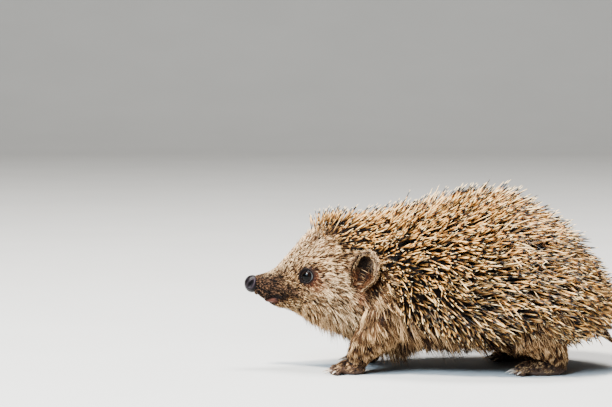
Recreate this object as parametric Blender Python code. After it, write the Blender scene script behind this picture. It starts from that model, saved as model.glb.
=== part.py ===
"""A hedgehog, life size, standing on all fours with its head stretched forward.

It faces -X with +Z up, in metres, and its feet stand on z = 0. The body is one smooth hull of
closed rings along X, sized by the named stations below, and thin upright cuts divide it into
head, neck, front torso and rear torso. Spines, fur locks, ears, eyes, nose, legs and tail are
placed on that hull's own surface.
"""

import math

import bmesh
import bpy
import numpy as np
from mathutils import Matrix, Vector
from mathutils.bvhtree import BVHTree

MM = 0.001
GAP = 0.3 * MM
FACET_ALLOWANCE = 0.1 * MM
SHARP_ANGLE = math.radians(40)
SEED = 7
LEFT, RIGHT = -1, 1

# Stations of the hull, in millimetres: x, top, bottom, level of the widest point, half width
STATIONS = {
    "muzzle_end": (-108.5, 57.2, 45.3, 51.2, 4.9),
    "muzzle": (-99, 61.2, 39.2, 49.6, 7.2),
    "brow": (-88, 72.2, 36.0, 50.0, 11.6),
    "eyes": (-78, 82.3, 33.2, 52.0, 17.0),
    "crown": (-62, 87.4, 29.2, 52.5, 23.0),
    "ears": (-44, 86.8, 25.0, 51.0, 28.0),
    "shoulders": (-22, 89.6, 21.5, 47.0, 38.0),
    "back": (8, 95.6, 19.0, 44.0, 46.5),
    "loin": (38, 97.5, 19.0, 42.0, 49.0),
    "rump": (68, 80.5, 20.0, 38.5, 43.5),
    "haunch": (88.5, 57.0, 23.5, 36.0, 28.5),
    "tail_root": (100, 36.0, 34.0, 35.0, 0.8),
}
SECTION_POWER = 0.93  # 1 gives elliptical rings, and less makes them squarer

# Cuts between the nodes of the hull
NECK_CUT = -33 * MM
SHOULDER_CUT = -8 * MM
WAIST_CUT = 40 * MM

# Front edge of the spiny coat: angle down from the ridge in degrees, and x in millimetres
SPINE_EDGE = ((0, -76), (34, -71), (52, -60), (60, -40), (84, -33), (104, -26), (122, -6), (140, 14))
SPINE_LOWEST_ANGLE = math.radians(140)
SPINE_SPACING = 4.3 * MM
SPINE_LENGTH = 22 * MM
SPINE_RADIUS = 0.9 * MM
SPINE_LIFT = math.radians(35)
SPINE_LIFT_LOST_LOW = math.radians(12)  # spines low on the flanks lie closer
SPINE_SHORTER_LOW = 0.14
SPINE_STRAY = 0.13
CREST_LIFT = math.radians(74)  # spines at the coat's front edge stand up
CREST_DEPTH = 10 * MM
CREST_SHORTER = 0.45
CREST_SHORT_DEPTH = 18 * MM
LIE_DOWN = 0.16  # how far the coat's lie turns down on the flanks, and more at the shoulder
LIE_DOWN_AT_SHOULDER = 0.85
SHOULDER_X, SHOULDER_REACH = -12 * MM, 26 * MM

LOCK_SPACING = 5.6 * MM
LOCK_LENGTH = 22 * MM
LOCK_HALF_WIDTH = 2.2 * MM
LOCK_FLATNESS = 0.30
LOCK_LIFT = math.radians(24)
LOCK_CURL = 0.50
LOCK_SIZE_ON_HEAD = 0.72

ROOT_SINK = 2.0 * MM
ROOT_ALONG = 1.0 * MM
ROOT_MARGIN = 1.8 * MM
CLEARANCE = 0.4 * MM
FLOOR_MARGIN = 2 * MM
SAMPLE_STEP = 2 * MM
TRIES = 8  # for each strand, before its place is left empty

EYE_RADIUS = 4.1 * MM
EYE_SINK = 1.9 * MM
EYE_X, EYE_Z = -79 * MM, 57.5 * MM
LID_RADIUS = 1.0 * MM
LID_HALF_LENGTH, LID_HALF_HEIGHT = 4.5 * MM, 3.9 * MM
LID_STEPS, LID_SIDES = 13, 5

MOUTH_FRONT_X, MOUTH_CORNER_X = -104.6 * MM, -88 * MM
MOUTH_Z = 44.2 * MM
MOUTH_STEPS = 8
MOUTH_WIDTH, MOUTH_INSET = 0.6 * MM, 0.15 * MM
LIP_DROP, LIP_INSET, LIP_RADIUS = 1.7 * MM, 0.45 * MM, 1.15 * MM

NOSE_RADIUS = 5.1 * MM
NOSE_SHAPE = (0.92, 1.0, 1.0)
NOSE_CENTRE = Vector((-112.2, 0, 51.8)) * MM
NOSTRIL_X, NOSTRIL_Y, NOSTRIL_Z = -2.7, 4.05, -0.1  # from the nose's centre, in millimetres
NOSTRIL_SIZE = (1.9, 1.5, 1.1)
SLIT_STEP = (1.3, 1.2, 1.1)  # the nostril's slit from its hole, in millimetres
SLIT_SIZE = (1.5, 1.0, 0.6)

EAR_X, EAR_Z = -43 * MM, 60 * MM
EAR_HEIGHT = 25 * MM
EAR_HALF_WIDTH = 9.2 * MM
EAR_THICKNESS = 1.3 * MM
EAR_STANDOFF = 5.6 * MM
EAR_UP = Vector((0.14, 0.30, 0.94)).normalized()
EAR_FACING = Vector((-0.64, 0.77, -0.05))
EAR_WIDEST = 0.42  # share of the ear's height
EAR_WIDTH_AT_ROOT = 0.74
EAR_WRAP, EAR_WRAP_LOST = 104, 34  # degrees that each half curls round, and less at the tip
EAR_CUP = 0.72
EAR_LEAN = 2.2 * MM
EAR_ROOT_SHARE = 0.45

TAIL_LENGTH = 14 * MM
TAIL_RADIUS = 3.1 * MM
TAIL_ROOT_X, TAIL_ROOT_ANGLE = 95 * MM, math.radians(152)
TAIL_LEAN = Vector((0.80, 0, -0.60))
TAIL_SAG = 3 * MM
TAIL_SINK = 5 * MM

FUR_BROWN = (0.30, 0.22, 0.15, 1)
SPINE_TAN = (0.47, 0.36, 0.23, 1)
EAR_GREY = (0.36, 0.29, 0.23, 1)
BLACK = (0.02, 0.02, 0.022, 1)
NOSE_BLACK = (0.045, 0.035, 0.04, 1)


def clear_scene():
    for obj in list(bpy.data.objects):
        bpy.data.objects.remove(obj)


def material(name, colour, roughness):
    made = bpy.data.materials.new(name)
    made.use_nodes = True
    shader = made.node_tree.nodes["Principled BSDF"]
    shader.inputs["Base Color"].default_value = colour
    shader.inputs["Roughness"].default_value = roughness
    made.diffuse_color = colour
    return made


class Hull:
    """The body's outer surface, as a smooth function of a station number and an angle.

    The angle is 0 on the ridge of the back and pi on the belly, and it is negative on the
    left side. Grow moves the surface outwards.
    """

    def __init__(self, stations, grow=0.0):
        self.knots = np.array(stations) * MM
        self.last = len(self.knots) - 1
        self.grow = grow
        self.slopes = np.gradient(self.knots, axis=0)
        self.slopes[-1] = 1.3 * (self.knots[-1] - self.knots[-2])
        self.slopes[-1, 0] = 0.0
        self.fine = np.linspace(0, self.last, 2000)
        self.fine_x = self.sizes(self.fine)[:, 0]

    def sizes(self, s):
        s = np.clip(np.atleast_1d(s).astype(float), 0, self.last)
        i = np.minimum(s.astype(int), self.last - 1)
        t = (s - i)[:, None]
        a, b, ma, mb = self.knots[i], self.knots[i + 1], self.slopes[i], self.slopes[i + 1]
        return (
            a * (2 * t**3 - 3 * t**2 + 1)
            + ma * (t**3 - 2 * t**2 + t)
            + b * (3 * t**2 - 2 * t**3)
            + mb * (t**3 - t**2)
        )

    def station_at(self, x):
        return np.interp(x, self.fine_x, self.fine)

    def bare_point(self, s, angle):
        """Points of the surface before it is grown, one row for each station and angle."""
        x, top, bottom, middle, half = self.sizes(s).T
        c, n = np.cos(angle), np.sin(angle)
        up = np.sign(c) * np.abs(c) ** SECTION_POWER
        out = np.sign(n) * np.abs(n) ** SECTION_POWER
        z = middle + np.where(up > 0, top - middle, middle - bottom) * up
        return np.stack([x, half * out, z], axis=1)

    def frame(self, s, angle):
        """(points, normals, backward tangents, downward tangents) of the surface."""
        s, angle = np.atleast_1d(s).astype(float), np.atleast_1d(angle).astype(float)
        ds, da = 0.01, 0.01
        back = self.bare_point(s + ds, angle) - self.bare_point(s - ds, angle)
        down = self.bare_point(s, angle + da) - self.bare_point(s, angle - da)
        normal = np.cross(back, down)
        normal /= np.linalg.norm(normal, axis=1)[:, None] + 1e-12
        back /= np.linalg.norm(back, axis=1)[:, None] + 1e-12
        down /= np.linalg.norm(down, axis=1)[:, None] + 1e-12
        down *= np.sign(angle + 1e-9)[:, None]
        return self.bare_point(s, angle) + normal * self.grow, normal, back, down

    def height(self, points):
        """About how far outside the surface each point is."""
        _, top, bottom, middle, half = self.sizes(self.station_at(points[:, 0])).T
        over = points[:, 2] - middle
        tall = np.where(over > 0, top - middle, middle - bottom)
        across = np.abs(points[:, 1] / half) ** (2 / SECTION_POWER)
        up = np.abs(over / tall) ** (2 / SECTION_POWER)
        share = (across + up) ** (SECTION_POWER / 2)
        return np.hypot(points[:, 1], over) * (1 - 1 / np.maximum(share, 1e-9))

    def mesh(self, x_from, x_to, rings, around):
        """A closed bmesh of the stretch between two x, with flat ends."""
        bm = bmesh.new()
        stations = np.linspace(self.station_at(x_from), self.station_at(x_to), rings)
        angles = np.linspace(-math.pi, math.pi, around, endpoint=False)
        loops = []
        for s in stations:
            points = self.frame(np.full(around, s), angles)[0]
            if s == stations[0]:
                points[:, 0] = x_from - self.grow
            if s == stations[-1]:
                points[:, 0] = x_to + self.grow
            loops.append([bm.verts.new(p) for p in points])
        for one, two in zip(loops, loops[1:]):
            for k in range(around):
                n = (k + 1) % around
                bm.faces.new((one[k], one[n], two[n], two[k]))
        for loop, order in ((loops[0], -1), (loops[-1], 1)):
            bm.faces.new(loop[::order])
        face_outwards(bm)
        return bm


HULL = Hull(list(STATIONS.values()))
HULL_END = STATIONS["tail_root"][0] * MM
HULL_START = STATIONS["muzzle_end"][0] * MM


def face_outwards(bm):
    bmesh.ops.recalc_face_normals(bm, faces=bm.faces)
    if bm.calc_volume(signed=True) < 0:
        bmesh.ops.reverse_faces(bm, faces=bm.faces)


def new_object(name, bm, looks=None):
    mesh = bpy.data.meshes.new(name)
    bm.to_mesh(mesh)
    bm.free()
    obj = bpy.data.objects.new(name, mesh)
    bpy.context.scene.collection.objects.link(obj)
    if looks:
        mesh.materials.append(looks)
    return obj


def keep_largest_surface(obj):
    """Drops every closed surface of the mesh but the one with the most faces."""
    bm = bmesh.new()
    bm.from_mesh(obj.data)
    bm.faces.ensure_lookup_table()
    seen, groups = set(), []
    for face in bm.faces:
        if face in seen:
            continue
        group, todo = [], [face]
        seen.add(face)
        while todo:
            this = todo.pop()
            group.append(this)
            for edge in this.edges:
                for near in edge.link_faces:
                    if near not in seen:
                        seen.add(near)
                        todo.append(near)
        groups.append(group)
    groups.sort(key=len)
    dropped = [f for group in groups[:-1] for f in group]
    bmesh.ops.delete(bm, geom=dropped, context="FACES")
    loose = [v for v in bm.verts if not v.link_faces]
    bmesh.ops.delete(bm, geom=loose, context="VERTS")
    bm.to_mesh(obj.data)
    bm.free()


def combine(obj, others, operation):
    """Joins the closed meshes to obj, or cuts them from it, and removes them."""
    if not others:
        return
    tools = bpy.data.collections.new("tools")
    bpy.context.scene.collection.children.link(tools)
    for other in others:
        for users in list(other.users_collection):
            users.objects.unlink(other)
        tools.objects.link(other)
    change = obj.modifiers.new("combine", "BOOLEAN")
    change.operation = operation
    change.operand_type = "COLLECTION"
    change.collection = tools
    change.solver = "MANIFOLD"
    graph = bpy.context.evaluated_depsgraph_get()
    made = bpy.data.meshes.new_from_object(obj.evaluated_get(graph))
    obj.modifiers.clear()
    old, name = obj.data, obj.data.name
    obj.data = made
    bpy.data.meshes.remove(old)
    made.name = name
    for other in others:
        mesh = other.data
        bpy.data.objects.remove(other)
        bpy.data.meshes.remove(mesh)
    bpy.data.collections.remove(tools)
    keep_largest_surface(obj)


def tube(name, points, radii, sides, squash=1.0, across=None):
    """A closed tube through the points, flattened by squash, with pointed or flat ends."""
    bm = bmesh.new()
    points = [Vector(p) for p in points]
    across = Vector(across) if across is not None else Vector((0, 0, 1))
    loops = []
    for i, (point, radius) in enumerate(zip(points, radii)):
        ahead = points[min(i + 1, len(points) - 1)] - points[max(i - 1, 0)]
        side = ahead.cross(across).normalized()
        over = ahead.cross(side).normalized()
        if radius == 0:
            loops.append([bm.verts.new(point)])
            continue
        turns = (2 * math.pi * k / sides - math.pi / 2 for k in range(sides))
        loops.append(
            [
                bm.verts.new(point + radius * (math.cos(a) * side + squash * math.sin(a) * over))
                for a in turns
            ]
        )
    for one, two in zip(loops, loops[1:]):
        for k in range(sides):
            n = (k + 1) % sides
            if len(two) == 1:
                bm.faces.new((one[k], one[n], two[0]))
            elif len(one) == 1:
                bm.faces.new((one[0], two[n], two[k]))
            else:
                bm.faces.new((one[k], one[n], two[n]))
                bm.faces.new((one[k], two[n], two[k]))
    for loop in (loops[0][::-1], loops[-1]):
        if len(loop) > 1:
            bm.faces.new(loop)
    return new_object(name, bm)


def ellipsoid(name, centre, radii, turn=None, segments=12, rings=8):
    bm = bmesh.new()
    bmesh.ops.create_uvsphere(bm, u_segments=segments, v_segments=rings, radius=1.0)
    place = Matrix.Translation(centre) @ (turn or Matrix.Identity(4))
    bmesh.ops.transform(bm, matrix=place @ Matrix.Diagonal((*radii, 1)), verts=bm.verts)
    return new_object(name, bm)


def box(name, low, high):
    bm = bmesh.new()
    bmesh.ops.create_cube(bm, size=1.0)
    low, high = Vector(low), Vector(high)
    size = high - low
    bmesh.ops.transform(
        bm, matrix=Matrix.Translation((low + high) / 2) @ Matrix.Diagonal((*size, 1)), verts=bm.verts
    )
    return new_object(name, bm)


def grown_hull(name):
    """The whole hull, larger by the gap, for cutting what stands on it."""
    wide = Hull(list(STATIONS.values()), grow=GAP + FACET_ALLOWANCE)
    return new_object(name, wide.mesh(HULL_START, HULL_END, 60, 48))


def tree_of(obj):
    """A search tree of the object's faces. Its mesh must already be in place."""
    return BVHTree.FromPolygons(
        [v.co.copy() for v in obj.data.vertices], [tuple(p.vertices) for p in obj.data.polygons]
    )


def surface(x, angle):
    """(point, normal, backward tangent, downward tangent) of the hull at an x and an angle."""
    found = HULL.frame(HULL.station_at(x), angle)
    return [Vector(v[0]) for v in found]


def node_at(x):
    """The name of the hull's node that holds this x."""
    if x < NECK_CUT:
        return "head"
    if x < SHOULDER_CUT:
        return "neck"
    return "torso_front" if x < WAIST_CUT else "torso_rear"


def angle_at(x, z):
    """The angle from the ridge at which the hull comes down to a height."""
    angles = np.linspace(0.1, math.pi, 800)
    heights = HULL.frame(np.full(800, HULL.station_at(x)), angles)[0][:, 2]
    return angles[int(np.argmin(np.abs(heights - z)))]


def eye_place(side):
    """(centre, outward direction) of an eyeball."""
    point, normal, _, _ = surface(EYE_X, side * angle_at(EYE_X, EYE_Z))
    return point - normal * EYE_SINK, normal


def make_eye(name, side, looks):
    centre, _ = eye_place(side)
    eye = ellipsoid(name, centre, [EYE_RADIUS] * 3, segments=12, rings=8)
    eye.data.materials.append(looks)
    return eye


def lid_ring(side):
    """A rolled rim round the eye, a little longer than it is high."""
    centre, normal = eye_place(side)
    along = Vector((1, 0, 0)) - normal * normal.x
    along.normalize()
    over = normal.cross(along)
    turns = [2 * math.pi * k / LID_STEPS for k in range(LID_STEPS)]
    rim = centre + normal * (EYE_SINK - 0.2 * MM)
    ring = [
        rim + LID_HALF_LENGTH * math.cos(a) * along + LID_HALF_HEIGHT * math.sin(a) * over for a in turns
    ]
    bm = bmesh.new()
    loops = []
    for point in ring:
        outward = (point - rim).normalized()
        corners = [
            point + LID_RADIUS * (math.cos(b) * outward + math.sin(b) * normal)
            for b in (2 * math.pi * k / LID_SIDES for k in range(LID_SIDES))
        ]
        loops.append([bm.verts.new(c) for c in corners])
    for one, two in zip(loops, loops[1:] + loops[:1]):
        for k in range(LID_SIDES):
            n = (k + 1) % LID_SIDES
            bm.faces.new((one[k], one[n], two[n], two[k]))
    face_outwards(bm)
    return new_object("lid", bm)


def mouth_points(drop, inset):
    """Points round the muzzle along the mouth, from the left corner to the right one."""
    points = []
    for k in range(-MOUTH_STEPS, MOUTH_STEPS + 1):
        share = abs(k) / MOUTH_STEPS
        x = MOUTH_FRONT_X + drop + (MOUTH_CORNER_X - MOUTH_FRONT_X) * share**1.4
        rise = min(1.0, share / 0.5)
        rise = rise * (2 - rise)
        angle = math.pi + (angle_at(x, MOUTH_Z - drop) - math.pi) * rise
        point, normal, _, _ = surface(x, (LEFT if k < 0 else RIGHT) * angle)
        points.append(point - normal * inset)
    return points


def along_mouth(name, drop, inset, radius, sides):
    middle = [radius] * (2 * MOUTH_STEPS - 1)
    return tube(name, mouth_points(drop, inset), [0.4 * radius, *middle, 0.4 * radius], sides)


def make_nose(looks):
    """The bare nose pad, with its two nostrils opening forward and outward."""
    radii = [NOSE_RADIUS * share for share in NOSE_SHAPE]
    nose = ellipsoid("nose", NOSE_CENTRE, radii, segments=16, rings=10)
    nose.data.materials.append(looks)
    cutters = [grown_hull("muzzle")]
    for side in (LEFT, RIGHT):
        at = NOSE_CENTRE + Vector((NOSTRIL_X, side * NOSTRIL_Y, NOSTRIL_Z)) * MM
        turn = Matrix.Rotation(math.radians(35 * side), 4, "Z") @ Matrix.Rotation(0.5, 4, "Y")
        cutters.append(ellipsoid("nostril", at, [r * MM for r in NOSTRIL_SIZE], turn, 8, 6))
        slit = at + Vector((SLIT_STEP[0], side * SLIT_STEP[1], SLIT_STEP[2])) * MM
        cutters.append(ellipsoid("slit", slit, [r * MM for r in SLIT_SIZE], turn, 6, 5))
    combine(nose, cutters, "DIFFERENCE")
    return nose


def ear_axes(side):
    """(root, up, facing, across) of an ear: up its length, and out of its open side."""
    point, normal, _, _ = surface(EAR_X, side * angle_at(EAR_X, EAR_Z))
    up = EAR_UP * Vector((1, side, 1))
    facing = EAR_FACING * Vector((1, side, 1))
    facing = (facing - up * facing.dot(up)).normalized()
    across = up.cross(facing).normalized()
    root = point + normal * EAR_STANDOFF - up * EAR_ROOT_SHARE * EAR_HEIGHT
    return root, up, facing, across


def ear_point(side, across_share, height_share, depth):
    """A point on the ear's back, at depth below it. Shares run -1 to 1 and 0 to 1."""
    root, up, facing, across = ear_axes(side)
    above = max(0.0, (height_share - EAR_WIDEST) / (1 - EAR_WIDEST))
    width = EAR_HALF_WIDTH * (1 - above**2.4) ** 0.5
    width *= EAR_WIDTH_AT_ROOT + (1 - EAR_WIDTH_AT_ROOT) * min(1.0, height_share / EAR_WIDEST)
    turn = across_share * math.radians(EAR_WRAP - EAR_WRAP_LOST * height_share)
    wide = max(width - depth, 0.25 * MM)
    cup = EAR_CUP * wide
    lean = EAR_LEAN * height_share**2
    return (
        root
        + up * (height_share * (EAR_HEIGHT - depth))
        + across * wide * math.sin(turn)
        - facing * (cup * math.cos(turn) + lean)
        + facing * 0.2 * MM
    )


def make_ear(name, side, looks):
    """A rounded cup of thin skin, open forwards and outwards."""
    wide, high = 10, 7
    bm = bmesh.new()
    sheets = []
    for depth in (0.0, EAR_THICKNESS):
        sheets.append(
            [
                [
                    bm.verts.new(ear_point(side, 2 * i / wide - 1, 0.985 * j / high, depth))
                    for i in range(wide + 1)
                ]
                for j in range(high + 1)
            ]
        )
    outer, inner = sheets
    for sheet in sheets:
        for j in range(high):
            for i in range(wide):
                a, b, c, d = sheet[j][i], sheet[j][i + 1], sheet[j + 1][i + 1], sheet[j + 1][i]
                bm.faces.new((a, b, c))
                bm.faces.new((a, c, d))
    rim = [(0, i) for i in range(wide)] + [(j, wide) for j in range(high)]
    rim += [(high, i) for i in range(wide, 0, -1)] + [(j, 0) for j in range(high, 0, -1)]
    for (j, i), (m, n) in zip(rim, rim[1:] + rim[:1]):
        bm.faces.new((outer[j][i], outer[m][n], inner[m][n]))
        bm.faces.new((outer[j][i], inner[m][n], inner[j][i]))
    face_outwards(bm)
    ear = new_object(name, bm, looks)
    combine(ear, [grown_hull("skull")], "DIFFERENCE")
    return ear


# Legs, in millimetres from the midline: each joint as x, y, z and radius, then the foot
FORELEG = {
    "joints": (
        (-32, 20, 40, 14),
        (-34, 25, 27, 11),
        (-41, 27, 15, 8),
        (-43, 27, 8, 6.4),
        (-44, 27, 3, 4),
    ),
    "foot_at": (-46.5, 27, 3.8),
    "foot_size": (9.0, 7.0, 5.2),
    "toe_length": 8.0,
    "claw_length": 4.5,
}
HINDLEG = {
    "joints": (
        (60, 26, 38, 18),
        (54, 31, 27, 13.5),
        (63, 31, 15, 9),
        (66, 31, 8, 6.8),
        (65, 31, 3, 4.5),
    ),
    "foot_at": (57, 31.5, 4.0),
    "foot_size": (15.5, 6.8, 5.4),
    "toe_length": 8.5,
    "claw_length": 5.0,
}
STEPS = {"foreleg_left": -6, "foreleg_right": 4, "hindleg_left": 4, "hindleg_right": -5}
STEP_FADE_FROM, STEP_FADE_OVER = 6, 30  # a step shifts the foot most and the hip little
TOE_SPREAD = math.radians(17)
TOE_WIDTHS = (2.0 * MM, 1.9 * MM, 1.5 * MM, 0.85 * MM, 0.0)
TOE_RISES = (0, 0.7 * MM, -0.4 * MM, -0.3 * MM, -1.9 * MM)
OUTER_TOE_SHORTER = 0.09


def leg_parts(plan, side, step):
    """The closed pieces of one leg: its length, then its foot and its toes with their claws."""
    rows = plan["joints"]
    shifts = [step * (1 - (z - STEP_FADE_FROM) / STEP_FADE_OVER) for _, _, z, _ in rows]
    path = [Vector((x + dx, side * y, z)) * MM for (x, y, z, _), dx in zip(rows, shifts)]
    radii = [r * MM for *_, r in rows]
    parts = [tube("limb", path, radii, 9, across=(0, 1, 0))]
    foot = Vector((plan["foot_at"][0] + step, side * plan["foot_at"][1], plan["foot_at"][2])) * MM
    size = [r * MM for r in plan["foot_size"]]
    parts.append(ellipsoid("foot", foot, size, None, 8, 6))
    for k in range(-2, 3):
        turn = k * TOE_SPREAD
        ahead = Vector((-math.cos(turn), math.sin(turn), 0))
        shorter = 1 - OUTER_TOE_SHORTER * k * k
        toe, claw = plan["toe_length"] * MM * shorter, plan["claw_length"] * MM * shorter
        knuckle = foot + Vector((-size[0] * 0.55, size[1] * 0.36 * k, -0.8 * MM))
        reaches = (0, 0.5 * toe, toe, toe + 0.1 * claw, toe + claw)
        path = [knuckle + ahead * r + Vector((0, 0, up)) for r, up in zip(reaches, TOE_RISES)]
        parts.append(tube("toe", path, TOE_WIDTHS, 5))
    return parts[0], parts[1:]


def make_leg(name, looks):
    plan = FORELEG if name.startswith("fore") else HINDLEG
    side = LEFT if name.endswith("left") else RIGHT
    leg, others = leg_parts(plan, side, STEPS[name])
    leg.name = name
    leg.data.name = name
    leg.data.materials.append(looks)
    combine(leg, others, "UNION")
    below = box("floor", (-0.2, -0.2, -0.1), (0.2, 0.2, 0))
    combine(leg, [grown_hull("trunk"), below], "DIFFERENCE")
    return leg


def make_tail(looks):
    """The short tail, which hangs out under the rump."""
    point = surface(TAIL_ROOT_X, TAIL_ROOT_ANGLE)[0]
    root = Vector((point.x, 0, point.z)) - TAIL_LEAN * TAIL_SINK
    reach = TAIL_LENGTH + TAIL_SINK
    path = [root + TAIL_LEAN * reach * t - Vector((0, 0, TAIL_SAG * t * t)) for t in (0, 0.35, 0.7, 1)]
    radii = [TAIL_RADIUS * r for r in (1.15, 1.0, 0.7, 0.3)]
    tail = tube("tail", path, radii, 8, across=(0, 1, 0))
    tail.data.materials.append(looks)
    combine(tail, [grown_hull("seat")], "DIFFERENCE")
    return tail


def spine_edge_x(angle):
    """The x where the spiny coat starts, at an angle from the ridge."""
    degrees, x = np.array(SPINE_EDGE, float).T
    return np.interp(np.degrees(np.abs(angle)), degrees, x) * MM


def segment_gaps(p, q, a, b):
    """The distances from the segment pq to each of the segments ab."""
    along, others, apart = q - p, b - a, p - a
    ee = (others * others).sum(1) + 1e-12
    aa = along @ along + 1e-12
    ae, ca, ce = others @ along, apart @ along, (others * apart).sum(1)
    on_pq = np.clip((ae * ce - ca * ee) / np.maximum(aa * ee - ae * ae, 1e-15), 0, 1)
    on_ab = np.clip((ae * on_pq + ce) / ee, 0, 1)
    on_pq = np.clip((ae * on_ab - ca) / aa, 0, 1)
    return np.linalg.norm(apart + along * on_pq[:, None] - others * on_ab[:, None], axis=1)


class Coat:
    """The spines and locks already placed, so that a new one can be kept clear of them."""

    def __init__(self, obstacles, rng):
        self.obstacles = obstacles
        self.rng = rng
        self.starts, self.ends, self.radii, self.nodes = [], [], [], []
        self.grown = {}

    def clear(self, path, radius, node, own_share):
        """Whether a path stays clear of all other nodes and, in part, of its own node's strands.

        Own_share is how much of the two radii must lie between strands of one node.
        """
        samples = []
        for a, b in zip(path, path[1:]):
            count = math.ceil((b - a).length / SAMPLE_STEP)
            samples += [a.lerp(b, k / count) for k in range(count)]
        samples.append(path[-1])
        if min(p.z for p in samples) < FLOOR_MARGIN:
            return False
        margin = radius + CLEARANCE
        for tree in self.obstacles:
            if any((tree.find_nearest(p)[0] - p).length < margin for p in samples):
                return False
        near = ((node_at(p.x - margin), node_at(p.x + margin)) for p in samples)
        beyond = [tuple(p) for p, ends in zip(samples, near) if ends != (node, node)]
        if beyond and HULL.height(np.array(beyond)).min() < margin:
            return False
        if not self.starts:
            return True
        same = np.array(self.nodes) == node
        reach = np.array(self.radii) + radius
        reach = np.where(same, own_share * reach, reach + CLEARANCE)
        skin = path[0] + (path[1] - path[0]).normalized() * ROOT_SINK
        points = np.array([tuple(p) for p in [skin, *path[1:]]])
        a, b = np.array(self.starts), np.array(self.ends)
        return all((segment_gaps(p, q, a, b) >= reach).all() for p, q in zip(points, points[1:]))

    def add(self, path, radius, node, build):
        for a, b in zip(path, path[1:]):
            self.starts.append(tuple(a))
            self.ends.append(tuple(b))
            self.radii.append(radius)
            self.nodes.append(node)
        self.grown.setdefault(node, []).append(build)


def even_roots(rng, count, spacing, wanted):
    """Roots (x, angle) spread evenly over the part of the hull where wanted is true."""
    stations = rng.uniform(0, HULL.last, count)
    angles = rng.uniform(-math.pi, math.pi, count)
    points = HULL.frame(stations, angles)[0]
    kept, chosen = np.zeros((0, 3)), []
    for s, angle, p in zip(stations, angles, points):
        cut = min(abs(p[0] - c) for c in (NECK_CUT, SHOULDER_CUT, WAIST_CUT))
        if cut < ROOT_MARGIN or not wanted(p, angle):
            continue
        if len(kept) and np.linalg.norm(kept - p, axis=1).min() < spacing:
            continue
        kept = np.vstack([kept, p])
        chosen.append((p[0], s, angle))
    return chosen


def strand_path(point, normal, lie, lift, curl, length, steps):
    """A path that leaves the skin at the lift angle and bends down by curl on its way."""
    path = []
    at = point
    for k in range(steps):
        angle = lift - curl * k / steps
        ahead = normal * math.sin(angle) + lie * math.cos(angle)
        if k == 0:
            path.append(point - ahead * ROOT_ALONG - normal * ROOT_SINK)
        at = at + ahead * length / steps
        path.append(at)
    return path


def in_spines(p, angle):
    tail_zone = p[0] > 86 * MM and abs(p[1]) < 9 * MM and p[2] < 33 * MM
    if abs(angle) > SPINE_LOWEST_ANGLE and p[0] < 92 * MM or tail_zone or p[2] < 22 * MM:
        return False
    return p[0] > spine_edge_x(angle)


def lie_of(back, down, x, angle):
    """The way the coat lies on the skin: back, and more downwards low on the flanks."""
    low = np.clip((math.degrees(abs(angle)) - 35) / 75, 0, 1)
    shoulder = math.exp(-(((x - SHOULDER_X) / SHOULDER_REACH) ** 2))
    lie = back + down * low * (LIE_DOWN + LIE_DOWN_AT_SHOULDER * shoulder)
    return lie.normalized()


def place_spines(coat):
    rng = coat.rng
    for x, s, angle in even_roots(rng, 12000, SPINE_SPACING, in_spines):
        point, normal, back, down = (Vector(v[0]) for v in HULL.frame(s, angle))
        lie = lie_of(back, down, x, angle)
        behind_edge = max(0.0, x - spine_edge_x(angle))
        crest = math.exp(-behind_edge / CREST_DEPTH)
        low = float(np.clip((math.degrees(abs(angle)) - 70) / 60, 0, 1))
        base_lift = SPINE_LIFT + (CREST_LIFT - SPINE_LIFT) * crest - SPINE_LIFT_LOST_LOW * low * (1 - crest)
        shorter = CREST_SHORTER * math.exp(-behind_edge / CREST_SHORT_DEPTH) + SPINE_SHORTER_LOW * low
        length = SPINE_LENGTH * (1 - shorter)
        node = node_at(x)
        for _ in range(TRIES):
            wander = Vector(rng.normal(0, SPINE_STRAY, 3))
            lift = base_lift + rng.uniform(-0.14, 0.14)
            lean = (lie + wander).normalized()
            path = strand_path(point, normal, lean, lift, 0, length * rng.uniform(0.86, 1.12), 1)
            if coat.clear(path, SPINE_RADIUS, node, own_share=0.6):
                coat.add(path, SPINE_RADIUS, node, ("spine", path, normal))
                break


def in_locks(p, angle):
    """The long fur: throat, neck, shoulders, and the skirt under the spines."""
    if p[0] < -70 * MM or p[0] > 90 * MM or in_spines(p, angle):
        return False
    degrees = math.degrees(abs(angle))
    if p[0] < NECK_CUT:
        return degrees > 116 - 32 * (p[0] + 70 * MM) / (37 * MM)
    if p[0] < 18 * MM:
        return degrees > 84
    return 138 < degrees < 160


def place_locks(coat):
    rng = coat.rng
    for x, s, angle in even_roots(rng, 8000, LOCK_SPACING, in_locks):
        point, normal, back, down = (Vector(v[0]) for v in HULL.frame(s, angle))
        low = float(np.clip((math.degrees(abs(angle)) - 80) / 50, 0, 1))
        lie = (back + down * 0.9 * low - Vector((0, 0, 0.25))).normalized()
        lie = (lie - normal * lie.dot(normal)).normalized()
        node = node_at(x)
        size = LOCK_SIZE_ON_HEAD if x < NECK_CUT else 1.0
        for attempt in range(TRIES):
            shrink = 1 - 0.07 * attempt
            wander = Vector(rng.normal(0, 0.10, 3))
            lift = LOCK_LIFT + rng.normal(0, 0.06) + 0.05 * attempt
            length = LOCK_LENGTH * size * rng.uniform(0.9, 1.15) * shrink
            lean = (lie + wander).normalized()
            path = strand_path(point, normal, lean, lift, LOCK_CURL, length, 3)
            if coat.clear(path, LOCK_HALF_WIDTH, node, own_share=0):
                coat.add(path, LOCK_HALF_WIDTH, node, ("lock", path, normal))
                break


def strand_solid(kind, path, normal):
    """A tapered spine with three sides, or a flat lock with a ridge on each face."""
    if kind == "spine":
        return tube("spine", path, [SPINE_RADIUS, 0.0], 3, across=normal)
    radii = [0.9 * LOCK_HALF_WIDTH, LOCK_HALF_WIDTH, 0.62 * LOCK_HALF_WIDTH, 0.0]
    return tube("lock", path, radii, 3, LOCK_FLATNESS, across=normal)


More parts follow.
